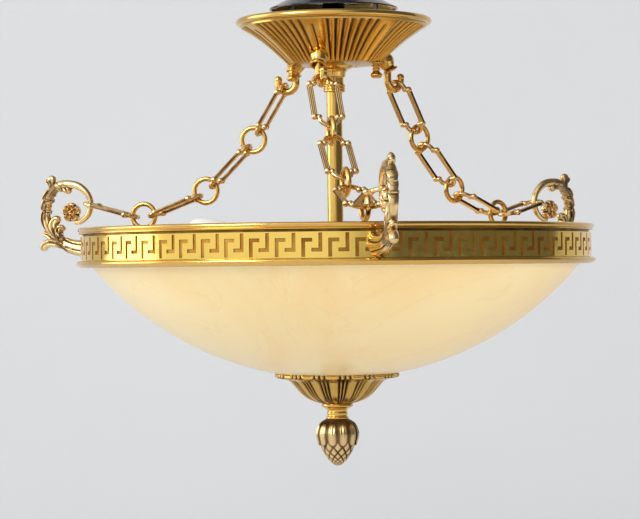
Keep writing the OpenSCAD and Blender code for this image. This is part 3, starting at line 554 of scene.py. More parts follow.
class PendantStage(PropertyGroup):
    distance: FloatProperty(
        name="Camera distance",
        description="Distance from the stem's axis to the camera",
        default=1.923,
        min=1,
        max=5,
        unit="LENGTH",
    )
    height: FloatProperty(
        name="Camera height",
        description="Height of the camera below the ceiling",
        default=-0.2165,
        min=-1,
        max=0,
        unit="LENGTH",
    )
    bearing: FloatProperty(
        name="Camera bearing",
        description="Direction from the stem's axis to the camera",
        default=math.radians(-98.8),
        unit="ROTATION",
    )
    lens: FloatProperty(
        name="Lens", description="Focal length of the camera", default=133.5, min=30, max=300, unit="CAMERA"
    )


# Round pieces


def petal_round(groups, cells):
    """Angles round a fluted dish, closer near the grooves, with the groove depth and the vein depth at
    each. A cell is its share of a group, its samples, a power, and where its vein lies. The groove depth
    is that power of the way from the cell's middle to its edge, 1 at the edges, and the vein is a narrow
    bell curve."""
    vein_width = 0.09
    angles, depth, vein, start = [], [], [], 0.0
    for share, samples, power, line in cells:
        x = np.sin(np.linspace(-1, 1, samples, endpoint=False) * math.pi / 2)
        angles.append(start + share * (x + 1) / 2)
        depth.append(np.abs(x) ** power)
        vein.append(np.zeros(samples) if line is None else np.exp(-(((x - line) / vein_width) ** 2)))
        start += share
    angles, depth, vein = (np.concatenate(v) for v in (angles, depth, vein))
    turns = np.arange(groups)[:, None]
    return ((turns + angles) / groups * TAU).ravel(), np.tile(depth, groups), np.tile(vein, groups)


def fluted_shell(profile, normals, strength, vein_strength, dark, around, flute):
    """Dish whose profile is carried round the axis and pressed in along its normal by the flutes. Each
    profile row has its own groove strength, so that rims and inner walls stay plain."""
    vein_share, shade_gain = 0.8, 1.35
    angles, depth, vein = around
    push = flute * np.maximum(strength[:, None] * depth, vein_strength[:, None] * vein * vein_share)
    r = profile[:, 0, None] - normals[:, 0, None] * push
    z = profile[:, 1, None] - normals[:, 1, None] * push
    points = np.stack([r * np.cos(angles), r * np.sin(angles), z], -1)
    # Painted shade in the flutes and on the veins, raised by each row's own dark value
    shade = np.clip(shade_gain * push / flute + dark[:, None], 0, 1)
    return points, True, shade


def side_normals(profile, outward):
    """Unit normals of an outline, on the side that outward points to."""
    ahead = np.roll(profile, -1, 0) - np.roll(profile, 1, 0)
    normal = np.stack([ahead[:, 1], -ahead[:, 0]], 1)
    normal /= np.maximum(np.linalg.norm(normal, axis=1, keepdims=True), 1e-9)
    return normal * np.where(normal @ np.array(outward) < 0, -1, 1)[:, None]


def dish_rows(stretches, strength, vein):
    """Outline of a dish, joined from its stretches, with the groove strength and the vein strength of
    each row. Both are none outside the second stretch, which is the fluted side."""
    outline = np.vstack(stretches)
    begin = len(stretches[0])
    end = begin + len(stretches[1])
    wave, line = np.zeros(len(outline)), np.zeros(len(outline))
    wave[begin:end], line[begin:end] = strength, vein
    return outline, wave, line


# Radius of the bead that the canopy's rim is rolled into, and radius of its flat lower end, in millimetres
CANOPY_BEAD = 2.6
CANOPY_END_R = 37.5


def canopy_poles():
    """Poles of the canopy's side in the frame, from under its rolled rim to the edge of its flat end."""
    low, high = node_box("canopy")
    rim = (high[0] - 2.9, high[2] - CANOPY_BEAD - 3.3)
    return rim, (CANOPY_END_R + 17.1, low[2] + 7.1), (CANOPY_END_R, low[2])


def flared_poles():
    """Middle of the canopy's rim and poles of its side as the photograph shows them: the rim 2.4 mm lower
    and the side up to 3.5 mm flatter than in the frame, opening like a bell's mouth."""
    low, high = node_box("canopy")
    rim_z = high[2] - CANOPY_BEAD - 2.4
    middle = (CANOPY_END_R + 20.5, rim_z - 13.4)
    return rim_z, ((high[0] - 4.2, rim_z - 4.4), middle, (CANOPY_END_R, low[2]))


class PENDANT_OT_canopy(Operator):
    """Builds the fluted canopy with its rolled rim"""

    bl_idname = "pendant.canopy"
    bl_label = "Canopy"

    def execute(self, context):
        details = context.scene.pendant_details
        low, high = node_box("canopy")
        rim_r, bead = high[0], CANOPY_BEAD
        end_z, end_r = low[2], CANOPY_END_R
        collar_r = node_box("lock_collar")[1][0]
        rim_z, poles = flared_poles()
        floor, wall, rows, outward = 1.6, 2.2, 44, (0.6, -1)
        under_dark, crease_dark = 0.5, 0.6
        t = np.linspace(1, 0, rows)
        side = bezier(*poles, t)
        slope = math.atan2(rim_z - end_z, rim_r - end_r)
        inner = bezier(*poles, t[::-1]) + wall * np.array([-math.sin(slope), math.cos(slope)])
        cone = [[collar_r + 1, end_z - 2], [(collar_r + end_r) / 2, end_z - 1.2], [end_r - 1.5, end_z - 0.2]]
        under = np.array([[THREAD_HOLE, end_z], [collar_r + 0.4, end_z], *cone])
        neck = np.array([[rim_r - 3.9, rim_z - 2.9]])
        rim = arc((rim_r - bead, rim_z), bead, -98, 196, 24)
        inside = np.array([[end_r - 4, end_z + floor], [THREAD_HOLE, end_z + floor]])
        fade = smoothstep(0.0, 0.05, t) * (1 - 0.35 * smoothstep(0.85, 1.0, t))
        vein = smoothstep(0.16, 0.22, t) * (1 - 0.5 * smoothstep(0.9, 1, t))
        outline, wave, line = dish_rows([under, side, neck, rim, inner[1:-1], inside], fade, vein)
        narrow, narrow_count = 0.107, 6
        cells = [(narrow, 12, 1.8, None)] * narrow_count + [(1 - narrow_count * narrow, 40, 8.0, -0.16)]
        around = petal_round(details.canopy_groups, cells)
        dark = np.zeros(len(outline))
        # Painted shade on the underside and in the crease under the rolled rim
        dark[: len(under)] = under_dark
        dark[len(under) + rows] = crease_dark
        normals = side_normals(outline, outward)
        shell = fluted_shell(outline, normals, wave, line, dark, around, details.flute / MM)
        make_piece("canopy_shell", [shell], "fixture", "canopy", sharp=50)
        return {"FINISHED"}


def bell_points(rim_r, top, end_r, end_z):
    """Points of the cap's side from its small end to its rim, as the photograph shows it: up to 5 mm
    flatter than in the frame, with a flat lip that turns down into a steep side. Each is a share of the
    way out and of the height still to go."""
    high = top - end_z
    steps = [
        (0, 1), (0.09, 0.962), (0.24, 0.87), (0.39, 0.71), (0.50, 0.53),
        (0.59, 0.37), (0.67, 0.25), (0.80, 0.175),
    ]
    side = [(end_r + (rim_r - end_r) * out, top - high * down) for out, down in steps]
    return [*side, (rim_r - 1.4, top - 3.2)]


class PENDANT_OT_bottom_cap(Operator):
    """Builds the petalled cap under the bowl"""

    bl_idname = "pendant.bottom_cap"
    bl_label = "Bottom cap"

    def execute(self, context):
        details = context.scene.pendant_details
        low, high = node_box("bottom_cap")
        rim_r, top, end_z, end_r = high[0], high[2], low[2], 14.0
        lip, wall, outward = 2.9, 1.8, (0.8, -1)
        side_dark, crease_dark = 0.42, (0.5, 0.8, 0.4)
        side = smooth_path(bell_points(rim_r, top, end_r, end_z), 5)
        rows = len(side)
        inner = (side - wall * side_normals(side, outward))[::-1]
        inner = inner[inner[:, 0] < rim_r - 4]
        under = np.array([[THREAD_HOLE, end_z], [end_r - 1.5, end_z]])
        rim_low = [[rim_r - 0.5, top - lip + 0.2], [rim_r, top - lip + 0.8]]
        rim = np.array([*rim_low, [rim_r, top - 0.7], [rim_r - 0.6, top]])
        inside = np.array([[rim_r - 3.4, top]])
        base = np.array([[THREAD_HOLE, end_z + wall]])
        fade = 1 - 0.4 * smoothstep(0.9, 1.0, np.linspace(1, 0, rows))
        outline, wave, line = dish_rows([under, side, rim, inside, inner[:-1], base], fade, 0)
        rim_start = len(under) + rows
        wave[rim_start : rim_start + len(rim)] = 1.0
        cells = [(0.2, 14, 1.6, None)] * 2 + [(0.6, 28, 6.0, None)]
        around = petal_round(details.cap_groups, cells)
        dark = np.zeros(len(outline))
        # Painted shade on the cap's side and in the crease where the side meets the lip
        dark[: rim_start - 9] = side_dark
        dark[rim_start - 2 : rim_start + 1] = crease_dark
        normals = side_normals(outline, outward)
        shell = fluted_shell(outline, normals, wave, line, dark, around, details.flute / MM)
        make_piece("cap_shell", [shell], "fixture", "bottom_cap", sharp=50)
        return {"FINISHED"}


def acorn_shell(radius, top, height, leaves, depth, turns=288):
    """Acorn turned about its axis and raised along its normal. Down to a scalloped edge lie leaves, each
    with a round crown, a middle rib, side ribs and stipple. Below it two sets of spirals, even in the
    logarithm of the way left to the tip, cut pointed scales. Painted shade lies between the leaves and
    between the scales, under the leaves' edge and over the neck."""
    widest, tall = 16.8, 37.9
    outline = [
        (0, 0), (9, 0), (14.3, -4.4), (widest, -11), (15.9, -17.6),
        (13.9, -23.2), (11.2, -28.6), (7.8, -33.4), (3.6, -36.9), (0, -tall),
    ]
    curve = smooth_path(outline, 26) * (radius / widest, height / tall)
    curve[:, 0] = np.maximum(curve[:, 0], 0)
    down = -curve[:, 1, None] / height
    angle = np.arange(turns)[None, :] / turns * TAU
    around = angle / TAU * leaves
    cell = around % 1 * 2 - 1
    leaf_end = 0.56 - 0.11 * np.abs(cell) ** 2.2
    on_leaf = 1 - smoothstep(leaf_end - 0.012, leaf_end + 0.012, down)
    crown = 1 - np.abs(cell) ** 3.5
    rib = 0.30 * np.exp(-((cell / 0.12) ** 2)) + 0.16 * np.cos(cell * 14) * (1 - smoothstep(0.2, 0.42, down))
    stipple = 0.22 * np.cos(angle * leaves * 7) * np.cos(down * 95) * smoothstep(0.24, 0.34, down)
    leaf_high = 0.35 + 0.65 * crown + (rib + stipple) * crown
    rise = -np.log(np.clip(1 - (down - 0.42) / 0.62, 0.02, 1)) * 1.55
    one, other = (np.abs(2 * ((around + way) % 1) - 1) for way in (rise, -rise))
    seam = np.maximum(one, other)
    scale_high = (1 - seam**5) * 0.75 + 0.25 * (1 - np.minimum(one, other))
    tip = smoothstep(0.99, 0.93, down)
    relief = on_leaf * (leaf_high + 0.2) + (1 - on_leaf) * (scale_high * tip - 0.55) - 0.9
    lift = depth * relief * smoothstep(0.0, 0.12, down) * smoothstep(1.0, 0.9, down)
    normal = side_normals(curve, (1, -0.3))
    r = np.maximum(curve[:, 0, None] + normal[:, 0, None] * lift, 0) * (curve[:, 0, None] > 0)
    z = curve[:, 1, None] + normal[:, 1, None] * lift
    points = np.stack([r * np.cos(angle), r * np.sin(angle), z + top], -1)
    # Painted shade: in the leaves' pits and between them, between the scales, under the leaves' edge, over
    # the neck, and a little all over
    pits = 0.45 * (1 - np.clip(leaf_high, 0, 1))
    hollow = on_leaf * ((1 - crown) ** 0.7 + pits) + (1 - on_leaf) * 1.1 * seam**4
    step = np.exp(-(((down - leaf_end - 0.015) / 0.026) ** 2))
    neck = 0.9 * (1 - smoothstep(0.03, 0.2, down))
    return points, False, np.clip(hollow + step + neck + 0.22, 0, 1)


class PENDANT_OT_finial(Operator):
    """Builds the acorn finial: a cup of leaves over a body of pointed scales"""

    bl_idname = "pendant.finial"
    bl_label = "Finial"

    def execute(self, context):
        details = context.scene.pendant_details
        low, high = node_box("finial")
        height, depth = high[2] - low[2], details.scale_depth / MM
        shell = acorn_shell(high[0], high[2], height, details.acorn_leaves, depth)
        make_piece("finial_acorn", [shell], "finial_nut", "finial", "cast_brass", sharp=60)
        return {"FINISHED"}


def turned(name, outline, body, replaced, turns=96, radius=0.35, origin=(0, 0, 0)):
    """Turned piece: its outline, with softened corners, revolved about an upright line."""
    profile = rounded_profile(outline, radius)
    # Painted shade in the grooves of the outline
    shell = (revolve(profile, turns) + np.array(origin), False, turned_recess(profile))
    make_piece(name, [shell], body, replaced, sharp=35)


def turned_recess(profile):
    """How far an outline's points lie inside the mean radius of their neighbours, from 0 to 1."""
    reach, full = 6, 2.0
    window = np.ones(2 * reach + 1) / (2 * reach + 1)
    mean = np.convolve(np.pad(profile[:, 0], reach, mode="edge"), window, mode="valid")
    return np.clip((mean - profile[:, 0]) / full, 0, 1)[:, None]


class PENDANT_OT_turnings(Operator):
    """Builds the lock collar, the ribbed nut, the cap nut and the turned knobs"""

    bl_idname = "pendant.turnings"
    bl_label = "Turned parts"

    def execute(self, context):
        low, high = node_box("lock_collar")
        r, z, h, bore = high[0], high[2], high[2] - low[2], 5.2
        collar = [
            (bore, z), (r - 0.8, z), (r, z - 0.8), (r, z - 2.4), (r * 0.82, z - 4.2), (r * 0.66, z - 5),
            (10.6, z - 5.2), (10.6, z - 6.6), (9.5, z - 7), (9.0, z - h * 0.72), (7.6, z - h * 0.76),
            (7.6, z - h), (bore, z - h), (bore, z),
        ]
        turned("collar_turned", collar, "collar", "lock_collar")
        low, high = node_box("stem_nut")
        z, h, bore = low[2], high[2] - low[2], 6.45
        rib, waist = (h - 1.5) / 3, high[0] - 1.2
        ribs = [arc((high[0] - rib * 0.46, z + rib * (i + 0.5)), rib * 0.46, -70, 70, 9) for i in range(3)]
        above = [(waist, z + h - 1.2), (waist, z + h), (bore, z + h), (bore, z)]
        nut = np.vstack([[(bore, z), (waist, z)], *ribs, above])
        turned("stem_nut_turned", nut, "fixture", "stem_nut", radius=0.15)
        low, high = node_box("cap_nut")
        r, z, bottom, bore = high[0], high[2], low[2], 5.1
        neck = [
            (bore, z), (r - 0.8, z), (r, z - 0.8), (r, z - 2.5), (r - 1.2, z - 3.4), (r - 3.0, z - 4.2),
            (8.4, z - 5.2), (7.9, z - 6.6), (8.5, z - 7.6), (8.5, z - 8.6), (8.0, z - 9.6), (8.3, z - 10.6),
            (9.2, z - 11.2), (9.2, bottom), (bore, bottom), (bore, z),
        ]
        turned("cap_nut_turned", neck, "fixture", "cap_nut")
        for side, centre, z, h, r in knob_places():
            outline = [
                (0, z), (r * 0.84, z), (r * 0.92, z - 0.6), (r * 0.84, z - 1.3), (r * 0.58, z - 1.8),
                (r * 0.58, z - 2.5), (r * 0.8, z - 3.1), (r * 0.8, z - 3.9), (r * 0.54, z - 4.4),
                (r * 0.54, z - 5.1), (r * 0.66, z - 5.6), (r * 0.66, z - 6.4), (r * 0.5, z - 7),
                (r * 0.6, z - 8), (r * 0.95, z - h + 3.4), (r, z - h + 2.4), (r * 0.84, z - h + 0.8),
                (r * 0.5, z - h), (0, z - h),
            ]
            turned(f"knob_{side}_turned", outline, "fixture", "canopy_knobs", turns=64, origin=(*centre, 0))
        return {"FINISHED"}


class PENDANT_OT_mouldings(Operator):
    """Builds the beaded upper and lower mouldings of the key-pattern ring"""

    bl_idname = "pendant.mouldings"
    bl_label = "Mouldings"

    def execute(self, context):
        low, high = node_box("upper_moulding")
        back = node_box("key_band")[1][0] - 4
        r, z, h = high[0], high[2], high[2] - low[2]
        bead, step_r, lip_z = h * 0.36, r - 0.9, z - 0.55
        foot = [
            (back, z - h), (r - 1.5, z - h), (step_r, z - h + 0.35), (step_r, z - h + 0.95),
            (r - 1.3, z - h + 1.15),
        ]
        crest = arc((r - bead, z - bead), bead, -62, 112, 20)
        upper = np.vstack([foot, crest, [(r - 4.2, lip_z), (back, lip_z), (back, z - h)]])
        spun_ring("upper_moulding_spun", upper, "upper_moulding")
        low, high = node_box("lower_moulding")
        r, z = high[0], low[2]
        inner, top, bead = node_box("glass_bowl")[1][0] + 0.8, z + 5.3, 2.05
        foot = [
            (inner - 4, z), (r - 4.6, z), (r - 4.2, z + 0.25), (r - 2.9, z + 0.35), (r - 2.5, z + 0.75),
            (r - 2.3, z + 1.1),
        ]
        crest = arc((r - bead, z + 3.1), bead, -75, 105, 20)
        back = [
            (r - 3.2, top - 0.15), (r - 4.2, top), (inner, top), (inner, z + 1.0), (inner - 4, z + 0.6),
            (inner - 4, z),
        ]
        spun_ring("lower_moulding_spun", np.vstack([foot, crest, back]), "lower_moulding")
        return {"FINISHED"}


def spun_ring(name, outline, replaced):
    """Large spun ring with a closed section and painted shade in its grooves."""
    shell = (revolve(outline, 384), False, turned_recess(outline))
    make_piece(name, [shell], "fixture", replaced, sharp=45)


def knob_places():
    """Side, middle (x, y), top level, height and radius of each of the two turned knobs, which stand
    opposite each other."""
    points = np.array([v.co for v in FRAME["nodes"]["canopy_knobs"].data.vertices]) / MM
    across = points[:, :2] @ points[points[:, 0].argmax(), :2]
    for side, own in (("right", points[across > 0]), ("left", points[across < 0])):
        low, high = own.min(0), own.max(0)
        yield side, (low + high)[:2] / 2, high[2], high[2] - low[2], (high - low)[0] / 2


class PENDANT_OT_bowl(Operator):
    """Builds the shallow glass bowl with its soft rim"""

    bl_idname = "pendant.bowl"
    bl_label = "Bowl"

    def execute(self, context):
        low, high = node_box("glass_bowl")
        rim_r, rim_z, bottom = high[0], high[2], low[2]
        depth, wall, hole, rows = rim_z - bottom, 5.0, 6.5, 72
        sphere = (rim_r**2 + depth**2) / (2 * depth)
        centre = bottom + sphere
        outer = np.linspace(math.asin(hole / sphere), math.asin(rim_r / sphere), rows)
        outside = np.stack([sphere * np.sin(outer), centre - sphere * np.cos(outer)], 1)
        inner_r = sphere - wall
        rim_angle = math.acos((centre - rim_z) / inner_r)
        inner = np.linspace(rim_angle, math.asin(hole / inner_r), rows)
        inside = np.stack([inner_r * np.sin(inner), centre - inner_r * np.cos(inner)], 1)
        shell = (revolve(np.vstack([outside, inside]), 256), True, 0)
        glass = "alabaster_glass"
        make_piece("bowl_glass", [shell], "fixture", "glass_bowl", glass, 50)
        return {"FINISHED"}


# Scroll arms


def arm_matrix(k):
    """Frame of an arm: X out from the axis through its foot, Z up, its origin at the band's middle level."""
    low, high = node_box("key_band")
    out = Matrix.Rotation(ARM_TURN[k], 4, "Z")
    return out @ Matrix.Translation((high[0], 0, (low[2] + high[2]) / 2))


def plane_normals(path):
    """Unit directions square to a path of (out, up) points, to the left of its run."""
    ahead = np.gradient(path, axis=0)
    ahead /= np.maximum(np.linalg.norm(ahead, axis=1, keepdims=True), 1e-9)
    return np.stack([-ahead[:, 1], ahead[:, 0]], 1)


def in_plane(points):
    """Arm-plane points (out, up) as space points (out, 0, up)."""
    return np.stack([points[:, 0], 0 * points[:, 0], points[:, 1]], 1)


# Direction square to the plane of an arm or a hook
SIDEWAYS = np.array([0.0, 1.0, 0.0])


def swept(path, across, side):
    """Sections along a path of (out, up) points: every point of a section lies across square to the path
    in the arm's plane, and side out of that plane."""
    centre = in_plane(path)[:, None]
    normal = in_plane(plane_normals(path))[:, None]
    return centre + normal * across[..., None] + SIDEWAYS * side[..., None]


def cast_rod(path, steps, lobes=0.0, groove=(0.0, 0.0), sides=32):
    """Rod along a path of (out, up, half width, half thickness) points, closed by a round bud. Its
    section is an oval; each flat side is hollowed by a groove along the rod, from the first to the second
    strength, and the edges swell and shrink in lobes."""
    groove_width, lobe_depth, shade_gain = 0.3, 0.16, 2.6
    q = smooth_path(path, steps)
    run = np.concatenate([[0], np.cumsum(np.linalg.norm(np.diff(q[:, :2], axis=0), axis=1))])
    left = (run[-1] - run) / q[-1, 2]
    bud = np.sqrt(np.clip(1 - np.clip(1 - left, 0, 1) ** 2, 0, 1))[:, None]
    share = (run / run[-1])[:, None]
    angle = np.arange(sides) / sides * TAU
    depth = groove[0] + (groove[1] - groove[0]) * share
    middle = np.exp(-((np.cos(angle) / groove_width) ** 2))
    swell = np.abs(np.sin(lobes * math.pi * share)) - 0.5
    scallop = 1 + lobe_depth * swell * (lobes > 0)
    across = q[:, 2, None] * np.cos(angle) * scallop * bud
    side = q[:, 3, None] * np.sin(angle) * (1 - depth * middle) * bud
    first = np.broadcast_to(in_plane(q[:1, :2])[:, None], (1, sides, 3))
    # Painted shade in the grooves along the rod's flat sides
    dark = np.clip(middle * depth * shade_gain, 0, 1) * bud
    return np.concatenate([first, swept(q[:, :2], across, side)]), False, np.concatenate([dark[:1], dark])


def crevices(shells, stems):
    """The shells with their painted shade raised where a point lies close to another stem's surface, where
    shade falls between the parts: its distance to the stem's path, less the stem's half width there, is
    eased from 1.5 mm to none."""
    strength = 0.85
    made = []
    for n, (grid, closed, dark) in enumerate(shells):
        near = np.zeros(grid.shape[:2])
        for m, stem in enumerate(stems):
            if m == n:
                continue
            gap = np.linalg.norm(grid[..., None, :] - in_plane(stem[:, :2]), axis=-1) - stem[:, 2:].max(1)
            near = np.maximum(near, 1 - smoothstep(-0.3, 1.3, np.abs(gap.min(-1) - 0.2)))
        made.append((grid, closed, np.clip(dark + strength * near, 0, 1)))
    return made


def calyx_shell(path, steps, ribs=7, turns=120):
    """Long acanthus cup round the arm's root, along a path of (out, up, half width, half thickness)
    points. Its section's radius dips by a cosine into narrow valleys between the ribs, which lean with
    the length, and its end is cut into tongues: the section there shrinks onto the rod sooner in the
    valleys than on the ribs."""
    q = smooth_path(path, steps)
    share = np.linspace(0, 1, len(q))[:, None]
    angle = np.arange(turns)[None, :] / turns * TAU
    wave = np.abs(np.cos((angle + 0.5 * share) * ribs / 2))
    valley = (1 - wave) ** 2.5
    vein = 0.35 * np.exp(-(((wave - 1) / 0.04) ** 2))
    ends = 1 - smoothstep(0.70 + 0.24 * wave, 0.78 + 0.24 * wave, share)
    wall = 0.55 + 0.45 * ends
    curl = 1 + 0.10 * np.exp(-(((share - 0.05) / 0.05) ** 2)) * wave
    size = wall * (1 - (0.24 * valley + 0.10 * vein) * smoothstep(0.0, 0.1, share)) * curl
    sections = swept(q[:, :2], q[:, 2, None] * np.cos(angle) * size, q[:, 3, None] * np.sin(angle) * size)
    # Painted shade in the valleys between the ribs, on the veins and under the tongues' edges
    edge = np.exp(-(((share - 0.77 - 0.24 * wave) / 0.03) ** 2))
    dark = np.clip(valley * 1.3 + vein + edge * 0.8, 0, 1)
    return capped(in_plane(q[:, :2]), sections), False, np.concatenate([dark[:1], dark, dark[-1:]])


def rosette_shell(radius, thick, petals=5, turns=200, rows=34):
    """Flower seen from both sides: its edge follows the broad petals' round tips, each petal is a deep
    hollow with a thick raised border, narrow valleys divide the borders, and a star of ridges runs out
    from the button."""
    angle = np.arange(turns) / turns * TAU
    share = np.linspace(0, 1, rows)[:, None]
    lobe = np.abs(np.cos((angle - math.radians(18)) * petals / 2))[None, :]
    reach = radius * (0.86 + 0.14 * lobe**0.6)
    between = (1 - lobe) ** 4
    valley = between * smoothstep(0.5, 0.72, share)
    star = between * (1 - smoothstep(0.3, 0.6, share))
    hollow = np.sin(np.clip((share - 0.2) / 0.62, 0, 1) * math.pi) ** 0.9 * smoothstep(0.24, 0.66, lobe)
    button = np.exp(-((share / 0.17) ** 4))
    raised = 0.86 + 0.3 * button + 0.16 * star
    height = thick / 2 * (raised - 0.62 * hollow - 0.6 * valley - 0.5 * share**12)
    x, z = share * reach * np.cos(angle), share * reach * np.sin(angle)
    front = np.stack([x, height, z], -1)
    back = np.stack([x, -height, z], -1)[::-1]
    # Painted shade in the valleys, in the petals' hollows and round the button's foot
    foot = np.exp(-(((share - 0.24) / 0.05) ** 2)) * (1 - between)
    dark = np.clip(valley * 1.8 + hollow**2 * 0.75 + foot, 0, 1)
    return np.concatenate([front, back]), False, np.concatenate([dark, dark[::-1]])


# Main rod of an arm in two stretches, the leaf cup round its root, and its leaves: path points as (out from
# the band, up from its middle, half width, half thickness), and the number of lobes on each leaf's edges
SCROLL_ROOT = [
    (1.5, 0.4, 4.4, 4.6), (14, 0.9, 4.0, 4.3), (33.3, 2.5, 4.0, 4.3), (46.3, 9.2, 3.5, 4.1),
    (55.0, 18.2, 3.5, 4.0), (57.8, 31.7, 3.5, 3.9), (54.0, 47.0, 3.6, 4.0), (48.6, 53.2, 3.7, 4.0),
]
SCROLL_END = [
    (57.0, 39.5, 3.0, 3.4), (54.0, 47.0, 3.6, 4.0), (48.6, 53.2, 3.9, 4.1), (41.3, 55.9, 3.9, 4.0),
    (28.3, 54.7, 3.3, 3.5), (18.8, 47.5, 2.7, 3.0), (15.8, 38.2, 2.4, 2.6), (18.9, 29.4, 2.4, 2.6),
    (25.6, 24.2, 2.2, 2.4), (31.6, 23.8, 1.7, 2.0),
]
CALYX = [
    (0.6, 0.8, 9.6, 8.2), (3.4, 0.8, 10.4, 8.9), (9, 0.8, 8.6, 7.4), (18, 1.2, 7.4, 6.4),
    (27, 1.9, 6.8, 5.9), (36, 4.0, 6.0, 5.4), (43.5, 8.0, 5.0, 4.8),
]
LEAVES = [
    ([(51.4, 46.0, 2.4, 3.4), (52.4, 52.0, 2.8, 3.2), (52.4, 56.6, 3.0, 3.0), (52.8, 60.4, 4.1, 3.2),
      (53.4, 64.0, 3.8, 3.0)], 0),
    ([(53.0, 55.0, 1.6, 2.8), (56.2, 58.4, 2.3, 2.8), (58.6, 58.4, 2.0, 2.4)], 0),
    ([(49.6, 49.4, 1.8, 4.5), (54.4, 49.8, 2.6, 4.9), (58.0, 47.0, 2.5, 4.6), (60.4, 42.6, 1.0, 3.0)], 0),
    ([(51.8, 42.4, 1.8, 4.6), (56.6, 42.8, 2.6, 4.9), (60.0, 39.6, 2.4, 4.4), (61.7, 34.4, 1.0, 2.8)], 0),
    ([(54.2, 32.6, 1.8, 4.6), (58.6, 33.6, 2.4, 4.8), (61.2, 29.2, 1.9, 4.0), (60.6, 22.4, 1.3, 2.8),
      (57.4, 16.6, 0.8, 1.8)], 0),
    ([(40.6, 54.8, 2.6, 4.0), (38.8, 52.6, 3.4, 4.1), (37.4, 50.4, 3.9, 4.0), (37.0, 47.8, 3.6, 3.4)], 0),
    ([(54.4, 46.0, 1.8, 4.6), (51.0, 51.2, 2.5, 4.9), (47.2, 53.2, 2.7, 4.9), (44.2, 52.2, 2.6, 4.4),
      (43.4, 49.6, 2.0, 3.4)], 0),
    ([(40, 4.4, 3.0, 4.4), (45.4, 10.6, 3.6, 4.9), (49.6, 16.2, 4.0, 5.2), (51.0, 21.8, 4.4, 5.0),
      (48.6, 26.0, 3.9, 4.4), (44.8, 24.6, 2.8, 3.6)], 2.5),
    ([(43.2, 8.6, 2.2, 4.9), (45.8, 14.0, 2.9, 5.3), (45.4, 18.6, 3.0, 4.7), (42.6, 19.4, 2.2, 3.6),
      (41.4, 16.6, 1.6, 2.8)], 0),
    ([(44, 6.2, 2.4, 4.2), (50.4, 9.8, 3.0, 4.5), (56.4, 13.4, 2.8, 4.1), (61.4, 14.6, 2.4, 3.4)], 0),
    ([(38, 2.6, 2.8, 4.2), (47.4, 6.0, 3.5, 4.5), (54.8, 6.6, 3.7, 4.3), (59.8, 4.2, 3.8, 4.1),
      (61.6, -0.2, 3.8, 3.8)], 0),
]


class PENDANT_OT_arms(Operator):
    """Builds the cast scroll arms with their leaves, and the rosette in each scroll's eye"""

    bl_idname = "pendant.arms"
    bl_label = "Scroll arms"

    def execute(self, context):
        eye, radius, thick = (34.0, 0, 32.2), 8.3, 9.0
        shells = [
            cast_rod(SCROLL_ROOT, 14, groove=(0.0, 0.45)),
            cast_rod(SCROLL_END, 14),
            calyx_shell(CALYX, 10),
        ]
        shells += [cast_rod(path, 12, lobes, groove=(0.45, 0.25)) for path, lobes in LEAVES]
        stems = [smooth_path(path, 6) for path in (SCROLL_ROOT, SCROLL_END[3:], CALYX)]
        stems += [smooth_path(path, 6) for path, _ in LEAVES]
        shells = crevices(shells, stems)
        flower = moved([rosette_shell(radius, thick)], Matrix.Translation(eye))
        flowers = []
        for k in CHAINS:
            arm = moved(shells, arm_matrix(k))
            make_piece(f"scroll_{k}_cast", arm, "fixture", f"scroll_arm_{k}", "cast_brass", sharp=60)
            flowers += moved(flower, arm_matrix(k))
        make_piece("rosettes_cast", flowers, "fixture", "rosettes", "cast_brass", sharp=60)
        return {"FINISHED"}


# Hooks


# Distance from the stem's axis to the hooks' shanks, and to the middle of their bells' seats on the canopy
HOOK_CIRCLE = 45.0
SEAT_R = 43.3


def hook_bearing(k):
    """Angle round the stem's axis at which a hook stands."""
    x, y = top_centre(f"hook_{k}")[:2]
    return math.atan2(y, x)


def seat_matrix(k):
    """Frame of a hook's bell: Z square to the canopy's slope, X up the slope, its origin on the side."""
    curve = bezier(*canopy_poles(), np.linspace(0, 1, 400))
    place = np.abs(curve[:, 0] - SEAT_R).argmin()
    down = curve[place + 1] - curve[place - 1]
    turn = Matrix.Rotation(hook_bearing(k), 4, "Z")
    lean = Matrix.Rotation(-math.atan2(-down[1], -down[0]), 4, "Y")
    return turn @ Matrix.Translation((SEAT_R, 0, curve[place, 1])) @ lean


def hook_matrix(k):
    """Frame of a hook's rod: its shank on the Z axis, its bend opening along X, the way the chain runs."""
    around = hook_bearing(k)
    axis = JOINTS[f"chain_{k}_swing"]["axis"]
    shank = Matrix.Translation((HOOK_CIRCLE * math.cos(around), HOOK_CIRCLE * math.sin(around), 0))
    return shank @ Matrix.Rotation(math.atan2(axis[1], axis[0]), 4, "Z")


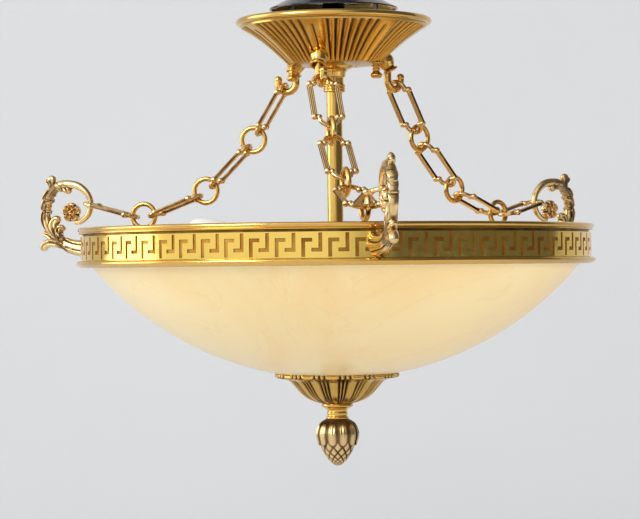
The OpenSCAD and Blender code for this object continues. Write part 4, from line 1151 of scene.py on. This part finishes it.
class PENDANT_OT_hooks(Operator):
    """Builds the hooks, whose bells sit square on the canopy's slope"""

    bl_idname = "pendant.hooks"
    bl_label = "Hooks"

    def execute(self, context):
        bend_z, bend_r, wire, rise = node_box("canopy")[0][2] - 12.0, 7.5, 3.0, 2.6
        foot_r, lip, tip_r, sunk = 7.2, -9.2, wire + 0.25, 2.4
        outline = [
            (0, 4.6), (foot_r - 2.6, 4.5), (foot_r - 0.7, 3.2), (foot_r, 1.2), (foot_r, -0.9),
            (foot_r - 0.7, -2.4), (foot_r - 1.5, -4.8), (foot_r - 2.9, -6.0), (foot_r - 2.5, lip + 2.5),
            (foot_r - 0.9, lip + 1.6), (foot_r - 0.4, lip + 0.8), (foot_r - 0.8, lip + 0.15),
            (foot_r - 1.6, lip), (foot_r - 2.7, lip + 0.5), (foot_r - 4.2, -5.0), (0, -4.6),
        ]
        bell = rounded_profile(outline, 0.5)
        # Painted shade inside the bell's throat and round its waist
        throat = (bell[:, 0] < foot_r - 2.4) & (bell[:, 1] < -4)
        waist = np.exp(-(((bell[:, 1] + 6.2) / 0.8) ** 2)) * 0.6
        bell_shell = (revolve(bell, 72), False, np.clip(throat + waist, 0, 1)[:, None])
        end = [2 * bend_r, bend_z + rise]
        tip = (ball((end[0], 0, end[1]), tip_r, 14, 28), False, 0)
        for k in CHAINS:
            top_z = seat_matrix(k).translation.z - sunk
            shank = [[0.0, top_z], [0.0, (top_z + bend_z) / 2], [0.0, bend_z]]
            path = np.vstack([shank, arc((bend_r, bend_z), bend_r, 180, 360, 30)[1:], end])
            normal = in_plane(plane_normals(path))
            rod = (tube(in_plane(path), 28, normal, np.broadcast_to(SIDEWAYS, normal.shape), wire), False, 0)
            hook = moved([bell_shell], seat_matrix(k)) + moved([rod, tip], hook_matrix(k))
            make_piece(f"hook_{k}_cast", hook, "fixture", f"hook_{k}", sharp=50)
        return {"FINISHED"}


# Chains


def link_places():
    """Middle and direction of each long link, from its own joint and box."""
    places = {}
    for k in CHAINS:
        for n in LINKS:
            low, high = node_box(f"link_{k}_{n}")
            axis = Vector(JOINTS[f"link_{k}_{n}_roll"]["axis"]).normalized()
            places[k, n] = ((low + high) / 2, axis)
    return places


# Length of a long link over its bows, and half the thickness of a bow, in millimetres
LINK_LEN = 51.3
BOW_WIRE = 1.9


def reeded_bar(length, width, thick, reeds=3, steps=10):
    """Closed bar along X: each broad face is a row of half round reeds, with painted shade in the valleys."""
    cover, valley_depth = 0.98, 0.5
    share = np.arange(reeds * steps + 1) / (reeds * steps)
    lane = np.abs((share * reeds % 1) * 2 - 1)
    top = np.stack([(share - 0.5) * cover * width, thick / 2 - valley_depth * lane**3], 1)
    section = np.concatenate([top, -top])
    shade = np.tile(lane**5, 2)[None, :]
    along = np.linspace(-length / 2, length / 2, 8)[:, None]
    grid = np.stack([along + 0 * section[:, 0], 0 * along + section[:, 0], 0 * along + section[:, 1]], -1)
    ends = np.array([[-length / 2, 0, 0], [length / 2, 0, 0]])
    return capped(ends, grid), False, shade


def bow_shell(end, bow_x, bow_r, sides=24):
    """Round bow at one end of a link, with a groove along both its faces: half a ring whose section is a
    circle with its flat sides hollowed."""
    depth, width = 0.32, 0.3
    angle = np.arange(sides) / sides * TAU
    groove = np.exp(-((np.cos(angle) / width) ** 2))
    bend = arc((0, 0), bow_r, -90, 90, 24)
    path = np.stack([end * (bow_x + bend[:, 0]), bend[:, 1], 0 * bend[:, 0]], 1)
    out = np.stack([end * bend[:, 0], bend[:, 1], 0 * bend[:, 0]], 1) / bow_r
    wide = np.cos(angle)[None, :, None] * out[:, None] * BOW_WIRE
    up = (np.sin(angle) * (1 - depth * groove))[None, :, None] * np.array([0.0, 0.0, BOW_WIRE])
    # Painted shade in the grooves of the bow
    return capped(path, path[:, None] + wide + up), False, (groove * 0.8)[None, :]


def link_shells():
    """Long link along X: two reeded bars with beads at their ends, and a round bow at each end."""
    link_w, bow_r, bar_w, bar_t, bar_bead, bow_bead, bead_dark = 22.0, 7.5, 4.5, 2.8, 2.7, 2.5, 0.1
    bow_x = LINK_LEN / 2 - BOW_WIRE - bow_r
    bar_len = LINK_LEN - 2 * (bow_r + BOW_WIRE) - 1.2
    shells = []
    for side in (-1, 1):
        bar, closed, shade = reeded_bar(bar_len, bar_w, bar_t)
        shells.append((bar + np.array([0, side * link_w / 2, 0]), closed, shade))
        for end in (-1, 1):
            # Beads take a little painted shade all over
            shells.append((ball((end * bar_len / 2, side * link_w / 2, 0), bar_bead), False, bead_dark))
            shells.append((ball((end * bow_x, side * bow_r, 0), bow_bead), False, bead_dark))
    return shells + [bow_shell(end, bow_x, bow_r) for end in (-1, 1)]


class PENDANT_OT_chains(Operator):
    """Builds the long reeded links and the round rings between them"""

    bl_idname = "pendant.chains"
    bl_label = "Chains"

    def execute(self, context):
        places = link_places()
        half_inner = LINK_LEN / 2 - 2 * BOW_WIRE
        ring_wire, ring_out = 2.0, 12.0
        link = link_shells()
        wire = arc((ring_out - ring_wire, 0), ring_wire, 0, 360, 17)[:-1]
        for k in CHAINS:
            flat = Vector(places[k, 4][0] - places[k, 1][0])
            flat.z = 0
            across = Vector((0, 0, 1)).cross(flat.normalized())
            for n in LINKS:
                centre, axis = places[k, n]
                name = f"link_{k}_{n}"
                shells = moved(link, frame_matrix(centre, axis, across))
                make_piece(f"{name}_cast", shells, name, name, "cast_brass")
            rings = []
            for n in LINKS[:-1]:
                before = Vector(places[k, n][0]) + places[k, n][1] * half_inner
                after = Vector(places[k, n + 1][0]) - places[k, n + 1][1] * half_inner
                matrix = frame_matrix((before + after) / 2, Vector((0, 0, 1)), flat.normalized())
                rings += moved([(revolve(wire, 64), True, 0)], matrix)
            make_piece(f"rings_{k}_round", rings, f"chain_{k}", f"chain_rings_{k}", sharp=60)
        return {"FINISHED"}


# Materials by the name of their finish, and the finish of each frame node
FINISHES = {}
NODE_FINISH = {
    "polished_brass": [
        "canopy", "canopy_knobs", "lock_collar", "stem_nut", "stem", "hook_1", "hook_2", "hook_3", "rosettes",
        "arm_screws", "upper_moulding", "lower_moulding", "carrier_ring", "bottom_cap", "cap_nut", "finial",
        "cluster_body", *(f"chain_rings_{k}" for k in CHAINS), *(f"scroll_arm_{k}" for k in CHAINS),
        *(f"link_{k}_{n}" for k in CHAINS for n in LINKS),
    ],
    "key_brass": ["key_band"],
    "dark_plate": ["ceiling_plate"],
    "zinc_steel": [
        "canopy_studs", "nipple", "nipple_locknut", "hook_nuts", "bowl_washer", "rod", "rod_locknut",
        "lamp_pipes", *(f"bulb_base_{k}" for k in CHAINS),
    ],
    "green_steel": ["ground_screw"],
    "alabaster_glass": ["glass_bowl"],
    "frosted_glass": [f"bulb_glass_{k}" for k in CHAINS],
    "porcelain": [f"lampholder_{k}" for k in CHAINS],
    "black_rubber": ["bowl_gaskets"],
    "wire_cover": ["lead_wires"],
    "felt": ["rim_felt"],
}


# Plain finishes: finish, material, two display colours, roughness, scale of the grain, height of the grain
GRAINED = [
    ("green_steel", "Green earth screw", (70, 150, 84), (48, 118, 62), 0.35, 600.0, 0.05),
    ("frosted_glass", "Frosted bulb", (240, 240, 236), (228, 230, 228), 0.35, 200.0, 0.02),
    ("porcelain", "Glazed porcelain", (238, 234, 224), (228, 222, 210), 0.18, 120.0, 0.01),
    ("black_rubber", "Gasket rubber", (46, 46, 46), (30, 30, 30), 0.7, 900.0, 0.1),
    ("wire_cover", "Wire insulation", (236, 230, 214), (222, 214, 196), 0.45, 500.0, 0.03),
    ("felt", "Rim felt", (120, 100, 70), (84, 68, 46), 0.95, 1800.0, 0.4),
]


def finish(name):
    """Material of a finish, once the finishes are made."""
    return FINISHES[name]


class PENDANT_OT_finishes(Operator):
    """Makes the shader groups and materials, and gives each frame node its own"""

    bl_idname = "pendant.finishes"
    bl_label = "Finishes"

    def execute(self, context):
        looks = context.scene.pendant_finishes
        shade_and_patina_group()
        handling_group()
        cloud_group()
        brass, cast, plate = (*looks.brass, 1), (*looks.cast_brass, 1), (*looks.plate, 1)
        shade, zinc, zinc_shade = (*looks.brass_painted_shade, 1), srgb(190, 192, 194), srgb(60, 60, 62)
        FINISHES["polished_brass"] = metal_material(
            "Polished brass", brass, shade, polish=0.16, dullness=0.3, amount=0.85, bump=0.03
        )
        FINISHES["cast_brass"] = metal_material(
            "Cast brass", cast, shade, polish=0.22, dullness=0.3, amount=0.95, wave=260.0, bump=0.1
        )
        FINISHES["key_brass"] = key_material(looks)
        FINISHES["dark_plate"] = metal_material(
            "Black nickel", plate, srgb(8, 8, 9), polish=0.08, dullness=0.2, amount=0.5
        )
        FINISHES["zinc_steel"] = metal_material(
            "Zinc plated steel", zinc, zinc_shade, polish=0.32, dullness=0.2, amount=0.6,
            wave=400.0, bump=0.05,
        )
        FINISHES["alabaster_glass"] = opal_material(looks)
        for name, label, pale, dark, roughness, scale, bump in GRAINED:
            FINISHES[name] = grained_material(label, srgb(*pale), srgb(*dark), roughness, scale, bump)
        for name, nodes in NODE_FINISH.items():
            for frame_node in nodes:
                dress(frame_node, finish(name))
        # The carrier ring takes painted shade all over: the shadow that the mouldings in front cast on it
        paint_shaded_wall("carrier_ring")
        return {"FINISHED"}


# Stage and camera


class PENDANT_OT_stage(Operator):
    """Makes the camera, the pale floor and backdrop, and the soft lamps"""

    bl_idname = "pendant.stage"
    bl_label = "Stage"

    def execute(self, context):
        stage = context.scene.pendant_stage
        place_camera(context.scene, stage)
        backdrop(stage)
        light(context.scene, stage.bearing)
        context.scene.view_settings.view_transform = "Standard"
        return {"FINISHED"}


# In the photograph's pixels: its width, how far right of its middle the stem's axis stands, and how far below
# its middle the horizon lies. The camera is also rolled a little
PHOTO_WIDTH = 640
AXIS_RIGHT = 15.9
HORIZON_BELOW = 9.0
ROLL = math.radians(0.55)


def place_camera(scene, stage):
    """Camera at the photograph's place, turned, tilted and rolled so that the axis and the horizon fall
    as they do in the photograph."""
    data = bpy.data.cameras.new("Camera")
    data.lens = stage.lens
    camera = bpy.data.objects.new("Camera", data)
    scene.collection.objects.link(camera)
    scene.camera = camera
    focal = stage.lens / data.sensor_width * PHOTO_WIDTH
    towards = stage.bearing + math.pi
    yaw = towards - math.pi / 2 + math.atan(AXIS_RIGHT / focal)
    pitch = math.pi / 2 + math.atan(HORIZON_BELOW / focal)
    turn = Matrix.Rotation(yaw, 4, "Z") @ Matrix.Rotation(pitch, 4, "X") @ Matrix.Rotation(-ROLL, 4, "Z")
    x, y = stage.distance * math.cos(stage.bearing), stage.distance * math.sin(stage.bearing)
    camera.matrix_world = Matrix.Translation((x, y, stage.height)) @ turn


def one_sided(tree, shader):
    """Makes a material clear from the back, so that a camera behind the sweep sees the light too."""
    back = node(tree, "ShaderNodeNewGeometry").outputs["Backfacing"]
    clear = node(tree, "ShaderNodeBsdfTransparent").outputs["BSDF"]
    sided = node(tree, "ShaderNodeMixShader", {0: back, 1: shader.outputs["BSDF"], 2: clear})
    output = next(n for n in tree.nodes if n.type == "OUTPUT_MATERIAL")
    tree.links.new(sided.outputs[0], output.inputs["Surface"])


def backdrop(stage):
    """Pale floor that sweeps up behind the light in a quarter circle, as wide as the camera needs."""
    floor_z, behind, bend, half, top, near = -0.75, 2.6, 1.1, 6.0, 2.5, -5.0
    curve = arc((behind - bend, floor_z + bend), bend, -90, 0, 24)
    line = np.vstack([[near, floor_z], curve, [behind, top]])
    away = stage.bearing + math.pi
    ahead = np.array([math.cos(away), math.sin(away), 0])
    side = np.array([-math.sin(away), math.cos(away), 0])
    rows = line[:, 0, None] * ahead + line[:, 1, None] * np.array([0, 0, 1])
    points = np.concatenate([rows + half * side, rows - half * side])
    count = len(line)
    faces = [(i, count + i, count + i + 1, i + 1) for i in range(count - 1)]
    mesh = bpy.data.meshes.new("backdrop")
    mesh.from_pydata(points.tolist(), [], faces)
    mesh.shade_smooth()
    paper, tree, shader = new_material("Pale paper", Roughness=0.9)
    grain = noise(tree, object_place(tree), 3.0, 2.0)
    tint = mixed(tree, grain, srgb(226, 227, 228), srgb(230, 231, 232))
    set_inputs(tree, shader, {"Base Color": tint})
    one_sided(tree, shader)
    mesh.materials.append(paper)
    sweep = bpy.data.objects.new("backdrop", mesh)
    bpy.context.scene.collection.objects.link(sweep)


def studio_world(scene, front):
    """Surroundings that are bright on the camera's left and dim on its right, as in a room with windows on
    one side: a direction's dot product with the bright side is eased and mixes two greys."""
    world = bpy.data.worlds.new("Studio")
    scene.world = world
    world.use_nodes = True
    tree = world.node_tree
    bright = front - math.radians(55)
    dim_grey, bright_grey = (0.13, 0.13, 0.14, 1), (0.92, 0.92, 0.92, 1)
    way = node(tree, "ShaderNodeTexCoord").outputs["Generated"]
    links = {0: way, 1: (math.cos(bright), math.sin(bright), 0.3)}
    side = node(tree, "ShaderNodeVectorMath", links, operation="DOT_PRODUCT").outputs["Value"]
    share = ranged(tree, side, 0.1, 0.7, ease="SMOOTHSTEP")
    tint = mixed(tree, share, dim_grey, bright_grey)
    set_inputs(tree, tree.nodes["Background"], {"Color": tint})


# Level of the light's middle, in metres from the ceiling
LIGHT_MIDDLE = -0.2


def area_lamp(scene, name, bearing, height, distance, size, power, mirrored=True):
    """Square soft lamp that looks at the middle of the light. One that isn't mirrored lights the matt
    surfaces and doesn't show in the metal."""
    data = bpy.data.lights.new(name, "AREA")
    data.size = size
    data.energy = power
    lamp = bpy.data.objects.new(name, data)
    lamp.visible_glossy = mirrored
    place = Vector((distance * math.cos(bearing), distance * math.sin(bearing), height))
    aim = Vector((0, 0, LIGHT_MIDDLE)) - place
    lamp.matrix_world = Matrix.Translation(place) @ aim.to_track_quat("-Z", "Y").to_matrix().to_4x4()
    scene.collection.objects.link(lamp)


def light(scene, front):
    """Soft key from the front left, a broad one from the far left, and fills from the right and from
    below that the metal doesn't mirror. Each lamp has its bearing, height, distance, size and power."""
    studio_world(scene, front)
    area_lamp(scene, "Key", front - math.radians(48), 0.75, 2.0, 0.9, 26)
    area_lamp(scene, "Window", front - math.radians(100), 0.2, 2.2, 1.4, 14)
    area_lamp(scene, "Fill", front + math.radians(55), 0.1, 2.6, 1.4, 31, mirrored=False)
    area_lamp(scene, "Low", front, -0.7, 2.4, 1.0, 9, mirrored=False)


class PENDANT_PT_panel(Panel):
    """Lists the pendant's pieces in the sidebar"""

    bl_label = "Pendant light"
    bl_idname = "PENDANT_PT_panel"
    bl_space_type = "VIEW_3D"
    bl_region_type = "UI"
    bl_category = "Pendant"

    def draw(self, context):
        for operator in OPERATORS:
            self.layout.operator(operator.bl_idname)
        for owner, names in PANEL_PROPS.items():
            settings = getattr(context.scene, owner)
            for name in names:
                self.layout.prop(settings, name)


PANEL_PROPS = {
    "pendant_finishes": [
        "brass", "cast_brass", "brass_painted_shade", "band", "key_floor", "plate", "bowl", "bowl_swirl", "bowl_vein",
    ],
    "pendant_details": ["flute", "canopy_groups", "cap_groups", "acorn_leaves", "scale_depth"],
    "pendant_stage": ["distance", "height", "bearing", "lens"],
}
GROUPS = {
    "pendant_finishes": PendantFinishes,
    "pendant_details": PendantDetails,
    "pendant_stage": PendantStage,
}
OPERATORS = (
    PENDANT_OT_stage,
    PENDANT_OT_finishes,
    PENDANT_OT_canopy,
    PENDANT_OT_bottom_cap,
    PENDANT_OT_finial,
    PENDANT_OT_turnings,
    PENDANT_OT_mouldings,
    PENDANT_OT_bowl,
    PENDANT_OT_arms,
    PENDANT_OT_hooks,
    PENDANT_OT_chains,
)
CLASSES = (*GROUPS.values(), *OPERATORS, PENDANT_PT_panel)


def register():
    for item in CLASSES:
        bpy.utils.register_class(item)
    for owner, group in GROUPS.items():
        setattr(bpy.types.Scene, owner, PointerProperty(type=group))


def unregister():
    for owner in GROUPS:
        delattr(bpy.types.Scene, owner)
    for item in reversed(CLASSES):
        bpy.utils.unregister_class(item)


def main():
    """Registers the classes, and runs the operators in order."""
    register()
    for operator in OPERATORS:
        part, name = operator.bl_idname.split(".")
        getattr(getattr(bpy.ops, part), name)()


if __name__ == "__main__":
    main()
